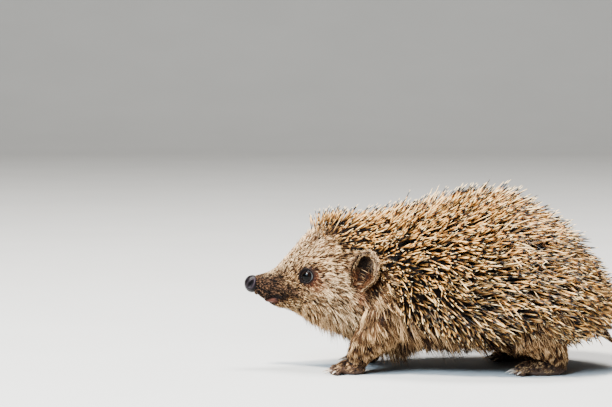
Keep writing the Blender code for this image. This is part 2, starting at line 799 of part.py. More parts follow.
def hull_node(name, x_from, x_to, rings, around, looks):
    return new_object(name, HULL.mesh(x_from, x_to, rings, around), looks)


def make_hull_nodes(spiny, furry):
    half = GAP / 2
    return {
        "head": hull_node("head", HULL_START, NECK_CUT - half, 15, 28, furry),
        "neck": hull_node("neck", NECK_CUT + half, SHOULDER_CUT - half, 4, 24, spiny),
        "torso_front": hull_node("torso_front", SHOULDER_CUT + half, WAIST_CUT - half, 5, 24, spiny),
        "torso_rear": hull_node("torso_rear", WAIST_CUT + half, HULL_END, 11, 24, spiny),
    }


def shape_face(head):
    """Lids, lip and mouth line, and the sockets that hold the eyes with a thin gap."""
    lip = along_mouth("lip", LIP_DROP, LIP_INSET, LIP_RADIUS, 6)
    combine(head, [lid_ring(LEFT), lid_ring(RIGHT), lip], "UNION")
    cutters = [along_mouth("mouth", 0.0, MOUTH_INSET, MOUTH_WIDTH, 4)]
    for side in (LEFT, RIGHT):
        centre, _ = eye_place(side)
        cutters.append(ellipsoid("socket", centre, [EYE_RADIUS + GAP] * 3, segments=12, rings=8))
    combine(head, cutters, "DIFFERENCE")


def shade(obj):
    """Smooth over gentle bends, with an edge left at sharp ones."""
    obj.data.shade_smooth()
    obj.data.set_sharp_from_angle(angle=SHARP_ANGLE)


def centre_over_origin(objects):
    """Moves all the shapes so that their common box has its middle over the origin."""
    points = [v.co for obj in objects for v in obj.data.vertices]
    x = (min(p.x for p in points) + max(p.x for p in points)) / 2
    y = (min(p.y for p in points) + max(p.y for p in points)) / 2
    for obj in objects:
        obj.data.transform(Matrix.Translation((-x, -y, 0)))


def build():
    clear_scene()
    furry = material("fur", FUR_BROWN, 0.8)
    spiny = material("spines", SPINE_TAN, 0.5)
    ear_skin = material("ear_skin", EAR_GREY, 0.7)
    eye_black = material("eye", BLACK, 0.05)
    nose_black = material("nose", NOSE_BLACK, 0.35)

    nodes = make_hull_nodes(spiny, furry)
    shape_face(nodes["head"])
    fixed = [
        make_eye("eye_left", LEFT, eye_black),
        make_eye("eye_right", RIGHT, eye_black),
        make_ear("ear_left", LEFT, ear_skin),
        make_ear("ear_right", RIGHT, ear_skin),
        make_nose(nose_black),
        make_tail(furry),
        *(make_leg(name, furry) for name in STEPS),
    ]
    coat = Coat([tree_of(obj) for obj in fixed], np.random.default_rng(SEED))
    place_spines(coat)
    place_locks(coat)
    for name, obj in nodes.items():
        strands = [strand_solid(*strand) for strand in coat.grown.get(name, [])]
        combine(obj, strands, "UNION")
    objects = [*nodes.values(), *fixed]
    centre_over_origin(objects)
    for obj in objects:
        shade(obj)


build()
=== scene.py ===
"""The hedgehog's looks: one skin over the solids, with spines, fur, eyes, nose and claws.

Shapes are made in the same coordinates as in the part's source, with the nose towards -X and the
left side towards -Y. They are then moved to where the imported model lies.
"""

import math

import bmesh
import bpy
import numpy as np
from mathutils import Matrix, Vector
from mathutils.bvhtree import BVHTree
from mathutils.kdtree import KDTree


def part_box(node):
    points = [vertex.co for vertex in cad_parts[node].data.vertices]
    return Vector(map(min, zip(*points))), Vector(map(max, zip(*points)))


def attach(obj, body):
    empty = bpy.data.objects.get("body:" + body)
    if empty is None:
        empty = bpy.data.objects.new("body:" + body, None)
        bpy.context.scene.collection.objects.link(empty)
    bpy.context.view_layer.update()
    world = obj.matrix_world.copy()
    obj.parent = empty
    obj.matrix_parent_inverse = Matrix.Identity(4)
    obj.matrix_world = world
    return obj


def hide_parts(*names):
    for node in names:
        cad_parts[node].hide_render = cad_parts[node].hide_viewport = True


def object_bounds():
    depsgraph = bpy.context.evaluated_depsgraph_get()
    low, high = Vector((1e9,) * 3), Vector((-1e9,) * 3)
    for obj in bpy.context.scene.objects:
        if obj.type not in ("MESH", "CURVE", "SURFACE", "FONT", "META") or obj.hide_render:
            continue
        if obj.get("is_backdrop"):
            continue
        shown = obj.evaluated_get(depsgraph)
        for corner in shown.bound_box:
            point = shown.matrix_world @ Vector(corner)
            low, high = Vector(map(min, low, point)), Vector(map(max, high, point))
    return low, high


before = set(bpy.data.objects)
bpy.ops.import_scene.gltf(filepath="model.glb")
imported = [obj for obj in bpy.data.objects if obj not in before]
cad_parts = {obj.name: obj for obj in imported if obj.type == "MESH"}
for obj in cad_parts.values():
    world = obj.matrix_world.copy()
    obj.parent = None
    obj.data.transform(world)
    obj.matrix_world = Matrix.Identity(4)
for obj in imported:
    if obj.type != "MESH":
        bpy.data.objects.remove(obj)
CAD_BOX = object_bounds()

MM = 0.001
SEED = 11
LEFT, RIGHT = -1, 1
MARKS = ("dark", "pale", "red", "brown")
DARK, PALE, RED, BROWN = range(4)

# Stations of the hull, in millimetres: x, top, bottom, level of the widest point, half width
STATIONS = {
    "muzzle_end": (-108.5, 57.2, 45.3, 51.2, 4.9),
    "muzzle": (-99, 61.2, 39.2, 49.6, 7.2),
    "brow": (-88, 72.2, 36.0, 50.0, 11.6),
    "eyes": (-78, 82.3, 33.2, 52.0, 17.0),
    "crown": (-62, 87.4, 29.2, 52.5, 23.0),
    "ears": (-44, 86.8, 25.0, 51.0, 28.0),
    "shoulders": (-22, 89.6, 21.5, 47.0, 38.0),
    "back": (8, 95.6, 19.0, 44.0, 46.5),
    "loin": (38, 97.5, 19.0, 42.0, 49.0),
    "rump": (68, 80.5, 20.0, 38.5, 43.5),
    "haunch": (88.5, 57.0, 23.5, 36.0, 28.5),
    "tail_root": (100, 36.0, 34.0, 35.0, 0.8),
}
SECTION_POWER = 0.93

# The front edge of the spines: degrees from the ridge, and x in millimetres
SPINE_EDGE = ((0, -76), (34, -71), (52, -60), (60, -40), (84, -33), (104, -26), (122, -6), (140, 14))
SPINE_LOWEST_ANGLE = 140
SPINE_SPACING = 1.7 * MM
SPINE_LENGTH = 21 * MM
SPINE_RADIUS = 0.40 * MM

# How deep the fur lies over the skin of the head, in millimetres at each x
FUR_DEPTH = ((-108, -99, -88, -74, -60, -46, -33), (0.9, 1.0, 1.0, 1.3, 1.6, 1.3, 0.0))

# Forms of the face and patches of colour, mirrored on the left: strength, middle and reach in
# millimetres
FACE_FORMS = (
    (0.9, (-80, 12, 65.5), (7, 6, 3.0)),
    (0.7, (-98.5, 8, 49.0), (6, 5, 4.0)),
    (0.8, (-70, 19, 49.0), (9, 8, 6.0)),
    (-0.7, (-88.5, 9, 57.5), (5, 6, 5.0)),
)
DARK_PATCHES = (
    (0.62, (-82, 15, 49), (7, 30, 5)),
    (1.0, (-94, 8, 45.5), (8, 30, 2.6)),
    (0.6, (-46, 28, 50), (4, 14, 6)),
)
PALE_PATCHES = ((1.0, (-63, 22, 54), (13, 30, 13)), (0.7, (-55, 20, 36), (16, 40, 9)))
RED_PATCHES = (
    (1.1, (-74.8, 20, 54.2), (4.4, 14, 6.2)),
    (0.9, (-49, 28, 49.0), (4.0, 14, 6.0)),
    (0.25, (-70, 8, 78), (14, 14, 6)),
    (0.7, (-99.5, 0, 40.8), (5.5, 30, 2.2)),
)

# Fur of the trunk at each x: length and width in millimetres, and hairs on each square millimetre
FUR_X = (-108, -98, -88, -78, -62, -44, -33, -20, 0, 20, 60, 95)
FUR_LENGTH = (1.4, 2.1, 3.3, 4.6, 6.2, 8.2, 10.5, 14.0, 15.5, 15.5, 14.5, 9.0)
FUR_WIDTH = (0.13, 0.16, 0.20, 0.22, 0.25, 0.27, 0.27, 0.28, 0.30, 0.32, 0.34, 0.32)
FUR_DENSITY = (7.0, 5.8, 4.4, 3.7, 3.0, 2.6, 2.4, 2.0, 1.5, 1.2, 1.0, 1.0)

# At each x, how far the fur lifts, in degrees, and how much it turns downwards on the sides
FUR_LIFT = ((-108, -90, -70, -40, 0, 90), (20, 26, 28, 28, 28, 24))
FUR_FALL = ((-108, -90, -70, -50, -33, -10, 30, 90), (0.05, 0.10, 0.30, 0.75, 1.2, 1.5, 0.8, 0.4))
UNDER_SPINES = 7  # how far, in millimetres, fur reaches in under the spines
DOME_HAIRS = 700  # round the nose

EYE_RADIUS = 4.1 * MM
EYE_SINK = 1.9 * MM
EYE_X, EYE_Z = -79 * MM, 57.5 * MM
LID_EDGE = 4.3  # where the lids end and the fur starts, in millimetres from the eye's axis

# The skin round an eye: millimetres from the eye's axis, and how far it stands out
LID_FORM = ((0, 3.1, 3.6, 3.9, 4.2, 4.6, 5.4, 7.2), (-3.4, -3.2, -0.6, 0.50, 0.85, 0.75, 0.30, 0))

MOUTH_FRONT_X, MOUTH_CORNER_X = -105.2 * MM, -88 * MM
MOUTH_Z = 44.2 * MM

NOSE_RADII = np.array((5.0, 5.2, 5.4)) * MM
NOSE_CENTRE = np.array((-112.0, 0, 51.4)) * MM
DOME_LENGTH = 3.1 * MM

EAR_X, EAR_Z = -43 * MM, 60 * MM
EAR_HEIGHT = 25 * MM
EAR_HALF_WIDTH = 9.2 * MM
EAR_STANDOFF = 5.6 * MM
EAR_UP = (0.14, 0.30, 0.94)
EAR_FACING = (-0.64, 0.77, -0.05)
EAR_BACK_DEPTH, EAR_FRONT_DEPTH = 0.2 * MM, 1.1 * MM
EAR_STEPS_ACROSS, EAR_STEPS_UP = 34, 30
EAR_TOP = 0.985  # the share of the height at which the rim closes

# Fuzz of an ear: its depth, hairs, lift in degrees, length in millimetres and row on the map
EAR_FUR = {
    "back": (EAR_BACK_DEPTH, 2600, 20, 2.5, 0.68),
    "front": (EAR_FRONT_DEPTH, 4200, 20, 2.2, 0.78),
    "rim": (EAR_BACK_DEPTH, 1500, 8, 1.6, 0.88),
}

TAIL_LENGTH = 14 * MM
TAIL_RADIUS = 3.1 * MM
TAIL_SINK = 5 * MM
TAIL_LEAN = np.array((0.80, 0, -0.60))

# Legs, in millimetres from the midline: each joint as x, y, z and radius, then the foot
FORELEG = {
    "joints": ((-32, 20, 40, 14), (-34, 25, 27, 11), (-41, 27, 15, 8), (-43, 27, 8, 6.4), (-44, 27, 3, 4)),
    "foot_at": (-46.5, 27, 3.8),
    "foot_size": (9.0, 7.0, 5.2),
    "toe_length": 8.0,
    "claw_length": 4.5,
}
HINDLEG = {
    "joints": ((60, 26, 38, 18), (54, 31, 27, 13.5), (63, 31, 15, 9), (66, 31, 8, 6.8), (65, 31, 3, 4.5)),
    "foot_at": (57, 31.5, 4.0),
    "foot_size": (15.5, 6.8, 5.4),
    "toe_length": 8.5,
    "claw_length": 5.0,
}
STEPS = {"foreleg_left": -6, "foreleg_right": 4, "hindleg_left": 4, "hindleg_right": -5}
LEG_NAMES = tuple(STEPS)
FLESH = ("head", "neck", "torso_front", "torso_rear", "ear_left", "ear_right", "tail", *LEG_NAMES)
TOE_SPREAD = math.radians(17)
FUR_ON_LEG, FUR_ON_FOOT = 0.6 * MM, 0.3 * MM
LEG_GRAIN = 0.55 * MM  # the size of the cells that melt a leg's pieces into one

PATCH = 0.003  # width of a strand's patch on the map for baking
PIECE_LIMIT = 190000  # triangles in one coat piece
STATION_CELLS, ANGLE_CELLS = 440, 360  # the trunk's cells for scattering roots

BLACK = (0.001, 0.001, 0.001)
UMBER = (0.060, 0.023, 0.008)
FAWN = (0.40, 0.20, 0.075)
CREAM = (0.86, 0.56, 0.27)

# Hair colours from dark to light, for each marking. The near-black root ends are partly painted shade deep
# in the coat.
FUR_COLOURS = {
    "plain": ((0.20, (0.003, 0.001, 0.001)), (0.44, UMBER), (0.62, FAWN), (0.86, CREAM)),
    "brown": ((0.28, (0.003, 0.001, 0.001)), (0.60, (0.070, 0.028, 0.010)), (0.98, (0.72, 0.44, 0.21))),
    "pale": ((0.20, (0.004, 0.002, 0.001)), (0.45, (0.16, 0.074, 0.030)), (0.74, (0.86, 0.59, 0.33))),
    "red": ((0.1, (0.012, 0.003, 0.001)), (0.48, (0.13, 0.036, 0.013)), (0.92, (0.52, 0.230, 0.105))),
    "dark": ((0.24, BLACK), (0.62, (0.015, 0.007, 0.004)), (0.97, (0.26, 0.130, 0.066))),
}

# Spine colours from root to tip: most are banded, some are pale all the way. The near-black root part is
# painted shade deep in the coat.
BANDED_SPINE = (
    (0.0, BLACK),
    (0.28, (0.006, 0.003, 0.001)),
    (0.46, (0.30, 0.135, 0.034)),
    (0.64, (0.80, 0.50, 0.17)),
    (0.72, (0.34, 0.135, 0.034)),
    (0.76, (0.003, 0.002, 0.002)),
    (0.87, (0.003, 0.002, 0.002)),
    (0.93, (0.94, 0.74, 0.43)),
)
PALE_SPINE = ((0.2, (0.004, 0.002, 0.001)), (0.50, (0.58, 0.33, 0.11)), (1.0, (0.94, 0.72, 0.41)))

# Two shades of the skin for each of its parts. The near-black plain skin is painted shade deep under the
# spines and hairs.
SKIN_COLOURS = {
    "plain": (BLACK, (0.007, 0.003, 0.002)),
    "pale": ((0.020, 0.010, 0.005), (0.070, 0.036, 0.018)),
    "ear": ((0.07, 0.040, 0.026), (0.17, 0.105, 0.070)),
    "red": ((0.050, 0.013, 0.006), (0.17, 0.052, 0.027)),
    "dark": ((0.001, 0.0005, 0.0005), (0.005, 0.0025, 0.002)),
    "feet": ((0.030, 0.017, 0.012), (0.125, 0.075, 0.054)),
    "bare": ((0.006, 0.002, 0.002), (0.17, 0.060, 0.038)),
}

# Lights, in metres: place, size, power in watts and colour
LIGHTS = {
    "key": ((-0.70, -0.80, 1.9), (0.35, 0.35), 240, (1.0, 0.94, 0.84)),
    "top": ((0.1, 0.20, 1.8), (0.6, 0.6), 105, (1.0, 0.98, 0.95)),
    "sky": ((-0.75, -1.15, 1.05), (0.9, 0.6), 90, (0.62, 0.82, 1.0)),
}
LIT_PLACE = (0, 0, 0.05)
SKY_COLOUR, SKY_STRENGTH = (0.80, 0.88, 1.0, 1), 0.12

# The camera, in metres, with its lens and sensor in millimetres
CAMERA_TILT = math.radians(4)
CAMERA_DISTANCE = 1.5
CAMERA_LENS, CAMERA_SENSOR = 147, 36
VIEW_CENTRE = (-79.5 * MM, -12 * MM, 101 * MM)

# The floor, in metres. It curves up behind its flat part.
FLOOR_HALF_WIDTH = 6.0
FLOOR_FRONT, FLOOR_BACK = -4.0, 2.6
FLOOR_CURVE, FLOOR_TOP = 1.2, 5.0

RNG = np.random.default_rng(SEED)


def unit(v):
    return v / (np.linalg.norm(v, axis=-1, keepdims=True) + 1e-12)


def along_surface(way, normal):
    """The direction along a surface that comes nearest to a way."""
    return unit(way - normal * (way * normal).sum(1)[:, None])


def ease(value, low, high):
    """Rises smoothly from 0 at low to 1 at high."""
    t = np.clip((np.asarray(value, float) - low) / (high - low), 0, 1)
    return t * t * (3 - 2 * t)


def bell(value, width):
    """1 at 0, falling smoothly to 0 over the width."""
    return np.exp(-((value / width) ** 2))


def bump_at(points, centre, radii):
    """1 at the centre, falling to 0 over the radii."""
    away = (points - np.array(centre, float)) / np.array(radii, float)
    return np.exp(-(away**2).sum(-1))


def bumps(points, rows):
    return [strength * bump_at(points, centre, radii) for strength, centre, radii in rows]


def mirrored(p):
    """The points in millimetres, with the left side brought to the right."""
    q = p / MM
    q[:, 1] = np.abs(q[:, 1])
    return q


def degrees_down(angle):
    """How far round from the ridge an angle is, in degrees."""
    return np.degrees(np.abs(angle))


def curve(knots, slopes, s):
    """Points of the smooth curve through the knots, at numbers that count the knots from 0."""
    i = np.minimum(s.astype(int), len(knots) - 2)
    t = (s - i)[:, None]
    start = knots[i] * (2 * t**3 - 3 * t**2 + 1) + slopes[i] * (t**3 - 2 * t**2 + t)
    return start + knots[i + 1] * (3 * t**2 - 2 * t**3) + slopes[i + 1] * (t**3 - t**2)


def spline(rows, count):
    """Evenly counted points along a smooth curve through the rows."""
    rows = np.array(rows, float)
    return curve(rows, np.gradient(rows, axis=0), np.linspace(0, len(rows) - 1, count))


class Waves:
    """Smooth random numbers over space, about size metres from one rise to the next."""

    def __init__(self, size, channels=1):
        count = 9
        ways = unit(RNG.normal(size=(count, 3)))
        self.turns = ways * (2 * math.pi / (size * RNG.uniform(0.7, 1.6, (count, 1))))
        self.phases = RNG.uniform(0, 2 * math.pi, (channels, count))
        self.scale = math.sqrt(2 / count)

    def __call__(self, points):
        turned = points @ self.turns.T
        return np.stack([np.sin(turned + p).sum(1) * self.scale for p in self.phases], axis=1)


class Hull:
    """The solids' outer surface, as a smooth function of a station number and an angle.

    The angle is 0 on the ridge of the back and pi on the belly, and it is negative on the left.
    """

    def __init__(self, stations):
        self.knots = np.array(stations) * MM
        self.last = len(self.knots) - 1
        self.slopes = np.gradient(self.knots, axis=0)
        self.slopes[-1] = 1.3 * (self.knots[-1] - self.knots[-2])
        self.slopes[-1, 0] = 0.0
        self.fine = np.linspace(0, self.last, 2000)
        self.fine_x = self.sizes(self.fine)[:, 0]

    def sizes(self, s):
        return curve(self.knots, self.slopes, np.clip(np.atleast_1d(s).astype(float), 0, self.last))

    def station_at(self, x):
        return np.interp(x, self.fine_x, self.fine)

    def bare_point(self, s, angle):
        x, top, bottom, middle, half = self.sizes(s).T
        c, n = np.cos(angle), np.sin(angle)
        up = np.sign(c) * np.abs(c) ** SECTION_POWER
        out = np.sign(n) * np.abs(n) ** SECTION_POWER
        z = middle + np.where(up > 0, top - middle, middle - bottom) * up
        return np.stack([x, half * out, z], axis=1)

    def frame(self, s, angle):
        """(points, normals, backward tangents, downward tangents) of the surface."""
        s, angle = np.atleast_1d(s).astype(float), np.atleast_1d(angle).astype(float)
        step = 0.01
        back = self.bare_point(s + step, angle) - self.bare_point(s - step, angle)
        down = self.bare_point(s, angle + step) - self.bare_point(s, angle - step)
        normal = unit(np.cross(back, down))
        down = unit(down) * np.sign(angle + 1e-9)[:, None]
        return self.bare_point(s, angle), normal, unit(back), down

    def height(self, points):
        """About how far outside the surface each point is."""
        _, top, bottom, middle, half = self.sizes(self.station_at(points[:, 0])).T
        over = points[:, 2] - middle
        tall = np.where(over > 0, top - middle, middle - bottom)
        across = np.abs(points[:, 1] / half) ** (2 / SECTION_POWER)
        up = np.abs(over / tall) ** (2 / SECTION_POWER)
        share = (across + up) ** (SECTION_POWER / 2)
        return np.hypot(points[:, 1], over) * (1 - 1 / np.maximum(share, 1e-9))


HULL = Hull(list(STATIONS.values()))


def angle_at(x, z):
    """The angle from the ridge at which the hull comes down to a height."""
    angles = np.linspace(0.1, math.pi, 800)
    heights = HULL.bare_point(np.full(len(angles), HULL.station_at(x)), angles)[:, 2]
    return angles[int(np.argmin(np.abs(heights - z)))]


def place_on_side(x, z, side):
    """(point, outward direction) of the hull at a length and a height."""
    point, normal, _, _ = HULL.frame(HULL.station_at(x), side * angle_at(x, z))
    return point[0], normal[0]


def eye_place(side):
    """(centre, outward direction) of an eyeball."""
    point, normal = place_on_side(EYE_X, EYE_Z, side)
    return point - normal * EYE_SINK, normal


EYES = {side: eye_place(side) for side in (LEFT, RIGHT)}
EYE_BOX_LOW, EYE_BOX_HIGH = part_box("eye_left")
SHIFT = np.array((EYE_BOX_LOW + EYE_BOX_HIGH) / 2) - EYES[LEFT][0]


def spine_edge_x(angle):
    """The x where the spiny coat starts, at an angle from the ridge."""
    degrees, x = np.array(SPINE_EDGE, float).T
    return np.interp(degrees_down(angle), degrees, x) * MM


def ahead_of_spines(p, angle):
    """How far, in millimetres, points lie in front of the spines."""
    return (spine_edge_x(angle) - p[:, 0]) / MM


def in_spines(p, angle):
    tail_zone = (p[:, 0] > 86 * MM) & (np.abs(p[:, 1]) < 9 * MM) & (p[:, 2] < 33 * MM)
    too_low = (degrees_down(angle) > SPINE_LOWEST_ANGLE) & (p[:, 0] < 92 * MM)
    return (p[:, 0] > spine_edge_x(angle)) & ~too_low & ~tail_zone & (p[:, 2] > 21 * MM)


def nearer_eye(p):
    """(centres, outward directions) of the eye on each point's side."""
    left = p[:, 1:2] < 0
    return tuple(np.where(left, EYES[LEFT][k], EYES[RIGHT][k]) for k in (0, 1))


def eye_gap(p):
    """Millimetres from the nearer eye's axis, with the lids' oval as a circle."""
    centre, axis = nearer_eye(p)
    along = along_surface(np.array((1.0, 0, 0)), axis)
    over = np.cross(axis, along)
    away = p - centre
    return np.hypot((away * along).sum(1) * 0.96, (away * over).sum(1) * 1.06) / MM


def mouth_line(drop):
    """A dense line round the muzzle along the mouth, from the left corner to the right one."""
    points = []
    for k in np.linspace(-1, 1, 121):
        share = abs(k)
        x = MOUTH_FRONT_X + drop + (MOUTH_CORNER_X - MOUTH_FRONT_X) * share**1.4
        rise = min(1.0, share / 0.5)
        rise = rise * (2 - rise)
        angle = math.pi + (angle_at(x, MOUTH_Z - drop) - math.pi) * rise
        points.append(HULL.frame(HULL.station_at(x), angle if k > 0 else -angle)[0][0])
    return np.array(points)


MOUTH, LOWER_LIP, UPPER_LIP = mouth_line(0.0), mouth_line(1.5 * MM), mouth_line(-1.3 * MM)


def line_distance(points, line):
    return np.sqrt(((points[:, None] - line[None]) ** 2).sum(2)).min(1)


def by_line(points, line, width):
    """1 on a line, falling to 0 over the width in millimetres."""
    return bell(line_distance(points, line), width * MM)


def relief(p, angle):
    """How far the skin lies above the hull: under the fur's depth, with brows and whisker pads."""
    q = mirrored(p)
    x = q[:, 0]
    depth = np.interp(x, *FUR_DEPTH) * ease(ahead_of_spines(p, angle), -2, 8) * ease(eye_gap(p), 4.5, 9)
    depth = depth * (1 - ease(degrees_down(angle), 95, 140) * (1 - ease(x, -98, -90)))
    return (sum(bumps(q, FACE_FORMS)) - depth) * MM


def skin_frame(s, angle):
    """(points, normals, backward tangents, downward tangents) of the skin."""
    point, normal, back, down = HULL.frame(s, angle)
    return point + normal * relief(point, angle)[:, None], normal, back, down


def markings(p):
    """Shares of the coat's markings at points: dark muzzle, pale cheek and head top, red patch, brown flank.
    The pale head top is partly painted light from above; the brown is partly painted shade low on the flank
    and rump.
    """
    q = mirrored(p)
    x, _, z = q.T
    _, top, _, middle, _ = HULL.sizes(HULL.station_at(p[:, 0])).T / MM
    high = (z - middle) / (top - middle)
    muzzle = 1 - ease(x, -99, -84)
    # The top of the muzzle's ridge is kept out of the dark: partly for its pale hairs, partly as painted
    # light from above.
    muzzle *= 1 - 0.95 * ease(high, 0.5, 0.8) * ease(x, -109, -102)
    muzzle *= 1 - 0.85 * (1 - ease(z, 40.5, 43.5)) * ease(x, -101, -97)
    stripe = bell(z - (49.5 - 0.25 * (x + 95)), 4.6) * (1 - ease(x, -88, -76)) * ease(-x, 76, 84)
    ring = bell(np.maximum(eye_gap(p) - LID_EDGE, 0), 1.7) * ease(-x, 60, 70)
    dark = np.maximum.reduce([muzzle, stripe, ring, *bumps(q, DARK_PATCHES)])
    # The pale on top of the head is partly pale fur and partly painted light from above.
    pale = sum(bumps(q, PALE_PATCHES)) + ease(high, 0.25, 0.8) * ease(-x, 64, 74)
    # The brown share is partly the brown fur of the lower body and partly painted shade: it covers the lower
    # flank, reaching higher on the rump, and makes more spines dusky there.
    rump = 16 * ease(x, 25, 75)
    brown = 0.95 * ease(x, -46, -26) * (1 - ease(z, 55 + rump, 80 + rump))
    return np.clip(np.stack([dark, pale, sum(bumps(q, RED_PATCHES)), brown], axis=1), 0, 1)


# Node materials


class Nodes:
    """A Principled material, with short calls for the nodes that feed it."""

    def __init__(self, name, **constants):
        self.material = bpy.data.materials.new(name)
        self.material.use_nodes = True
        self.tree = self.material.node_tree
        self.shader = self.tree.nodes["Principled BSDF"]
        for key, value in constants.items():
            self.shader.inputs[key.replace("_", " ")].default_value = value

    def add(self, kind, **settings):
        node = self.tree.nodes.new("ShaderNode" + kind)
        for key, value in settings.items():
            setattr(node, key, value)
        return node

    def feed(self, socket, value):
        """Links a socket to another, or gives it a number or a colour."""
        if isinstance(value, bpy.types.NodeSocket):
            self.tree.links.new(value, socket)
        else:
            socket.default_value = (*value, 1) if isinstance(value, tuple) else value

    def set(self, key, value):
        self.feed(self.shader.inputs[key], value)

    def attribute(self, name):
        return self.add("Attribute", attribute_name=name).outputs["Fac"]

    def texture(self, kind, size, **settings):
        """A texture with features about size metres across."""
        node = self.add(kind, **settings)
        self.feed(node.inputs["Vector"], self.add("TexCoord").outputs["Object"])
        node.inputs["Scale"].default_value = 1 / size
        return node

    def noise(self, size, detail, roughness=0.55):
        node = self.texture("TexNoise", size)
        node.inputs["Detail"].default_value = detail
        node.inputs["Roughness"].default_value = roughness
        return node.outputs["Fac"]

    def cells(self, size):
        return self.texture("TexVoronoi", size, feature="DISTANCE_TO_EDGE").outputs["Distance"]

    def math(self, operation, *values):
        node = self.add("Math", operation=operation)
        for socket, value in zip(node.inputs, values):
            self.feed(socket, value)
        return node.outputs[0]

    def line(self, value, gain, base=0.0):
        """The value times the gain, plus the base."""
        return self.math("MULTIPLY_ADD", value, gain, base)

    def ramp(self, value, stops):
        node = self.add("ValToRGB")
        while len(node.color_ramp.elements) < len(stops):
            node.color_ramp.elements.new(0.5)
        for element, (at, colour) in zip(node.color_ramp.elements, stops):
            element.position = at
            element.color = (*colour, 1)
        self.feed(node.inputs["Fac"], value)
        return node.outputs["Color"]

    def mix(self, share, a, b, blend="MIX"):
        node = self.add("Mix", data_type="RGBA", blend_type=blend)
        for index, value in ((0, share), (6, a), (7, b)):
            self.feed(node.inputs[index], value)
        return node.outputs[2]

    def bump(self, height, distance, strength):
        node = self.add("Bump")
        for key, value in (("Strength", strength), ("Distance", distance), ("Height", height)):
            self.feed(node.inputs[key], value)
        self.set("Normal", node.outputs["Normal"])


def fur_looks():
    """Hairs dark at the root, near black there as partly painted shade, and cream at the tip, with the
    markings laid over them.
    """
    n = Nodes("fur_hair", Roughness=0.62, Specular_IOR_Level=0.08)
    value = n.line(n.attribute("tone"), 0.72, n.line(n.attribute("along"), 0.50, -0.14))
    colour = n.ramp(value, FUR_COLOURS["plain"])
    for mark in ("brown", "pale", "red"):
        colour = n.mix(n.attribute(mark), colour, n.ramp(value, FUR_COLOURS[mark]))
    odd_hair = n.line(n.math("LESS_THAN", n.attribute("kind"), 0.16), 0.8)
    colour = n.mix(odd_hair, colour, UMBER)
    n.set("Base Color", n.mix(n.attribute("dark"), colour, n.ramp(value, FUR_COLOURS["dark"])))
    return n.material


def spine_looks():
    """Horn: near black at the root as painted shade deep in the coat, cream above that and at the tip, with
    a dark band between.
    """
    n = Nodes("spine_horn", Roughness=0.3, Specular_IOR_Level=0.2)
    kind = n.attribute("kind")
    along = n.line(n.attribute("tone"), 0.14, n.math("SUBTRACT", n.attribute("along"), 0.07))
    banded = n.ramp(along, BANDED_SPINE)
    dusky = n.mix(0.8, banded, (0.006, 0.003, 0.001))
    colour = n.mix(n.math("GREATER_THAN", kind, 0.90), banded, n.ramp(along, PALE_SPINE))
    # Painted shade: more spines turn dusky where the brown share is high, low on the flank and rump; the
    # rest are dusky at random.
    dusky_share = n.line(n.attribute("brown"), 0.28, 0.14)
    colour = n.mix(n.math("LESS_THAN", kind, dusky_share), colour, dusky)
    warm = n.mix(n.noise(9 * MM, 2), (0.80, 0.67, 0.52), (1.0, 0.95, 0.88))
    n.set("Base Color", n.mix(1.0, colour, warm, "MULTIPLY"))
    n.set("Roughness", n.line(n.noise(0.8 * MM, 2), 0.25, 0.24))
    n.bump(n.noise(0.35 * MM, 2, 0.6), 0.05 * MM, 0.5)
    return n.material


def skin_looks():
    """Near-black skin under the coat, painted shade deep under the spines and hairs, browner ears, moist
    lips and lids, and pinkish brown feet.
    """
    n = Nodes(
        "skin",
        Roughness=0.6,
        Specular_IOR_Level=0.05,
        Subsurface_Weight=0.05,
        Subsurface_Radius=(0.9, 0.4, 0.25),
        Subsurface_Scale=1.2 * MM,
    )
    spots = n.noise(2.2 * MM, 4, 0.6)
    shades = {part: n.mix(spots, *pair) for part, pair in SKIN_COLOURS.items() if part != "bare"}
    colour = n.mix(n.line(n.attribute("pale"), 0.7), shades["plain"], shades["pale"])
    for part in ("ear", "red", "dark", "feet"):
        colour = n.mix(n.attribute(part), colour, shades[part])
    bare = n.mix(n.noise(0.8 * MM, 4, 0.7), *SKIN_COLOURS["bare"])
    n.set("Base Color", n.mix(n.attribute("bare"), colour, bare))
    n.set("Roughness", n.line(n.attribute("moist"), -0.22, n.line(spots, 0.2, 0.52)))
    n.bump(n.math("ADD", n.cells(0.9 * MM), n.line(n.noise(0.5 * MM, 3), 0.5)), 0.18 * MM, 0.6)
    return n.material


def nose_looks():
    n = Nodes("nose_pad", Roughness=0.3, Specular_IOR_Level=0.09)
    spots = n.noise(1.5 * MM, 3)
    colour = n.mix(spots, BLACK, (0.006, 0.004, 0.005))
    # The purplish grey of the rim is partly the wings' paler skin and partly a painted sheen.
    n.set("Base Color", n.mix(n.attribute("rim"), colour, (0.028, 0.019, 0.024)))
    n.set("Roughness", n.math("ADD", n.line(spots, 0.22, 0.22), n.line(n.attribute("hole"), 0.5)))
    n.bump(n.math("ADD", n.cells(0.55 * MM), n.line(n.noise(0.3 * MM, 2), 0.3)), 0.14 * MM, 0.8)
    return n.material


def eye_looks():
    """A black pupil and a nearly black iris, with a thin grey ring along the lids that is a painted
    reflection on the wet tear line.
    """
    n = Nodes("eye_dark", Roughness=0.05, IOR=1.38, Specular_IOR_Level=0.13)
    off_axis = n.attribute("off_axis")
    spots = n.noise(0.5 * MM, 3, 0.6)
    iris = n.mix(spots, BLACK, (0.007, 0.003, 0.002))
    rim = n.mix(spots, BLACK, (0.005, 0.003, 0.003))
    colour = n.mix(n.math("GREATER_THAN", off_axis, 0.50), (0.0005, 0.0005, 0.0005), iris)
    colour = n.mix(n.math("GREATER_THAN", off_axis, 0.80), colour, rim)
    # The grey on the edge share is a painted reflection along the lids.
    n.set("Base Color", n.mix(n.attribute("edge"), colour, (0.17, 0.17, 0.17)))
    return n.material


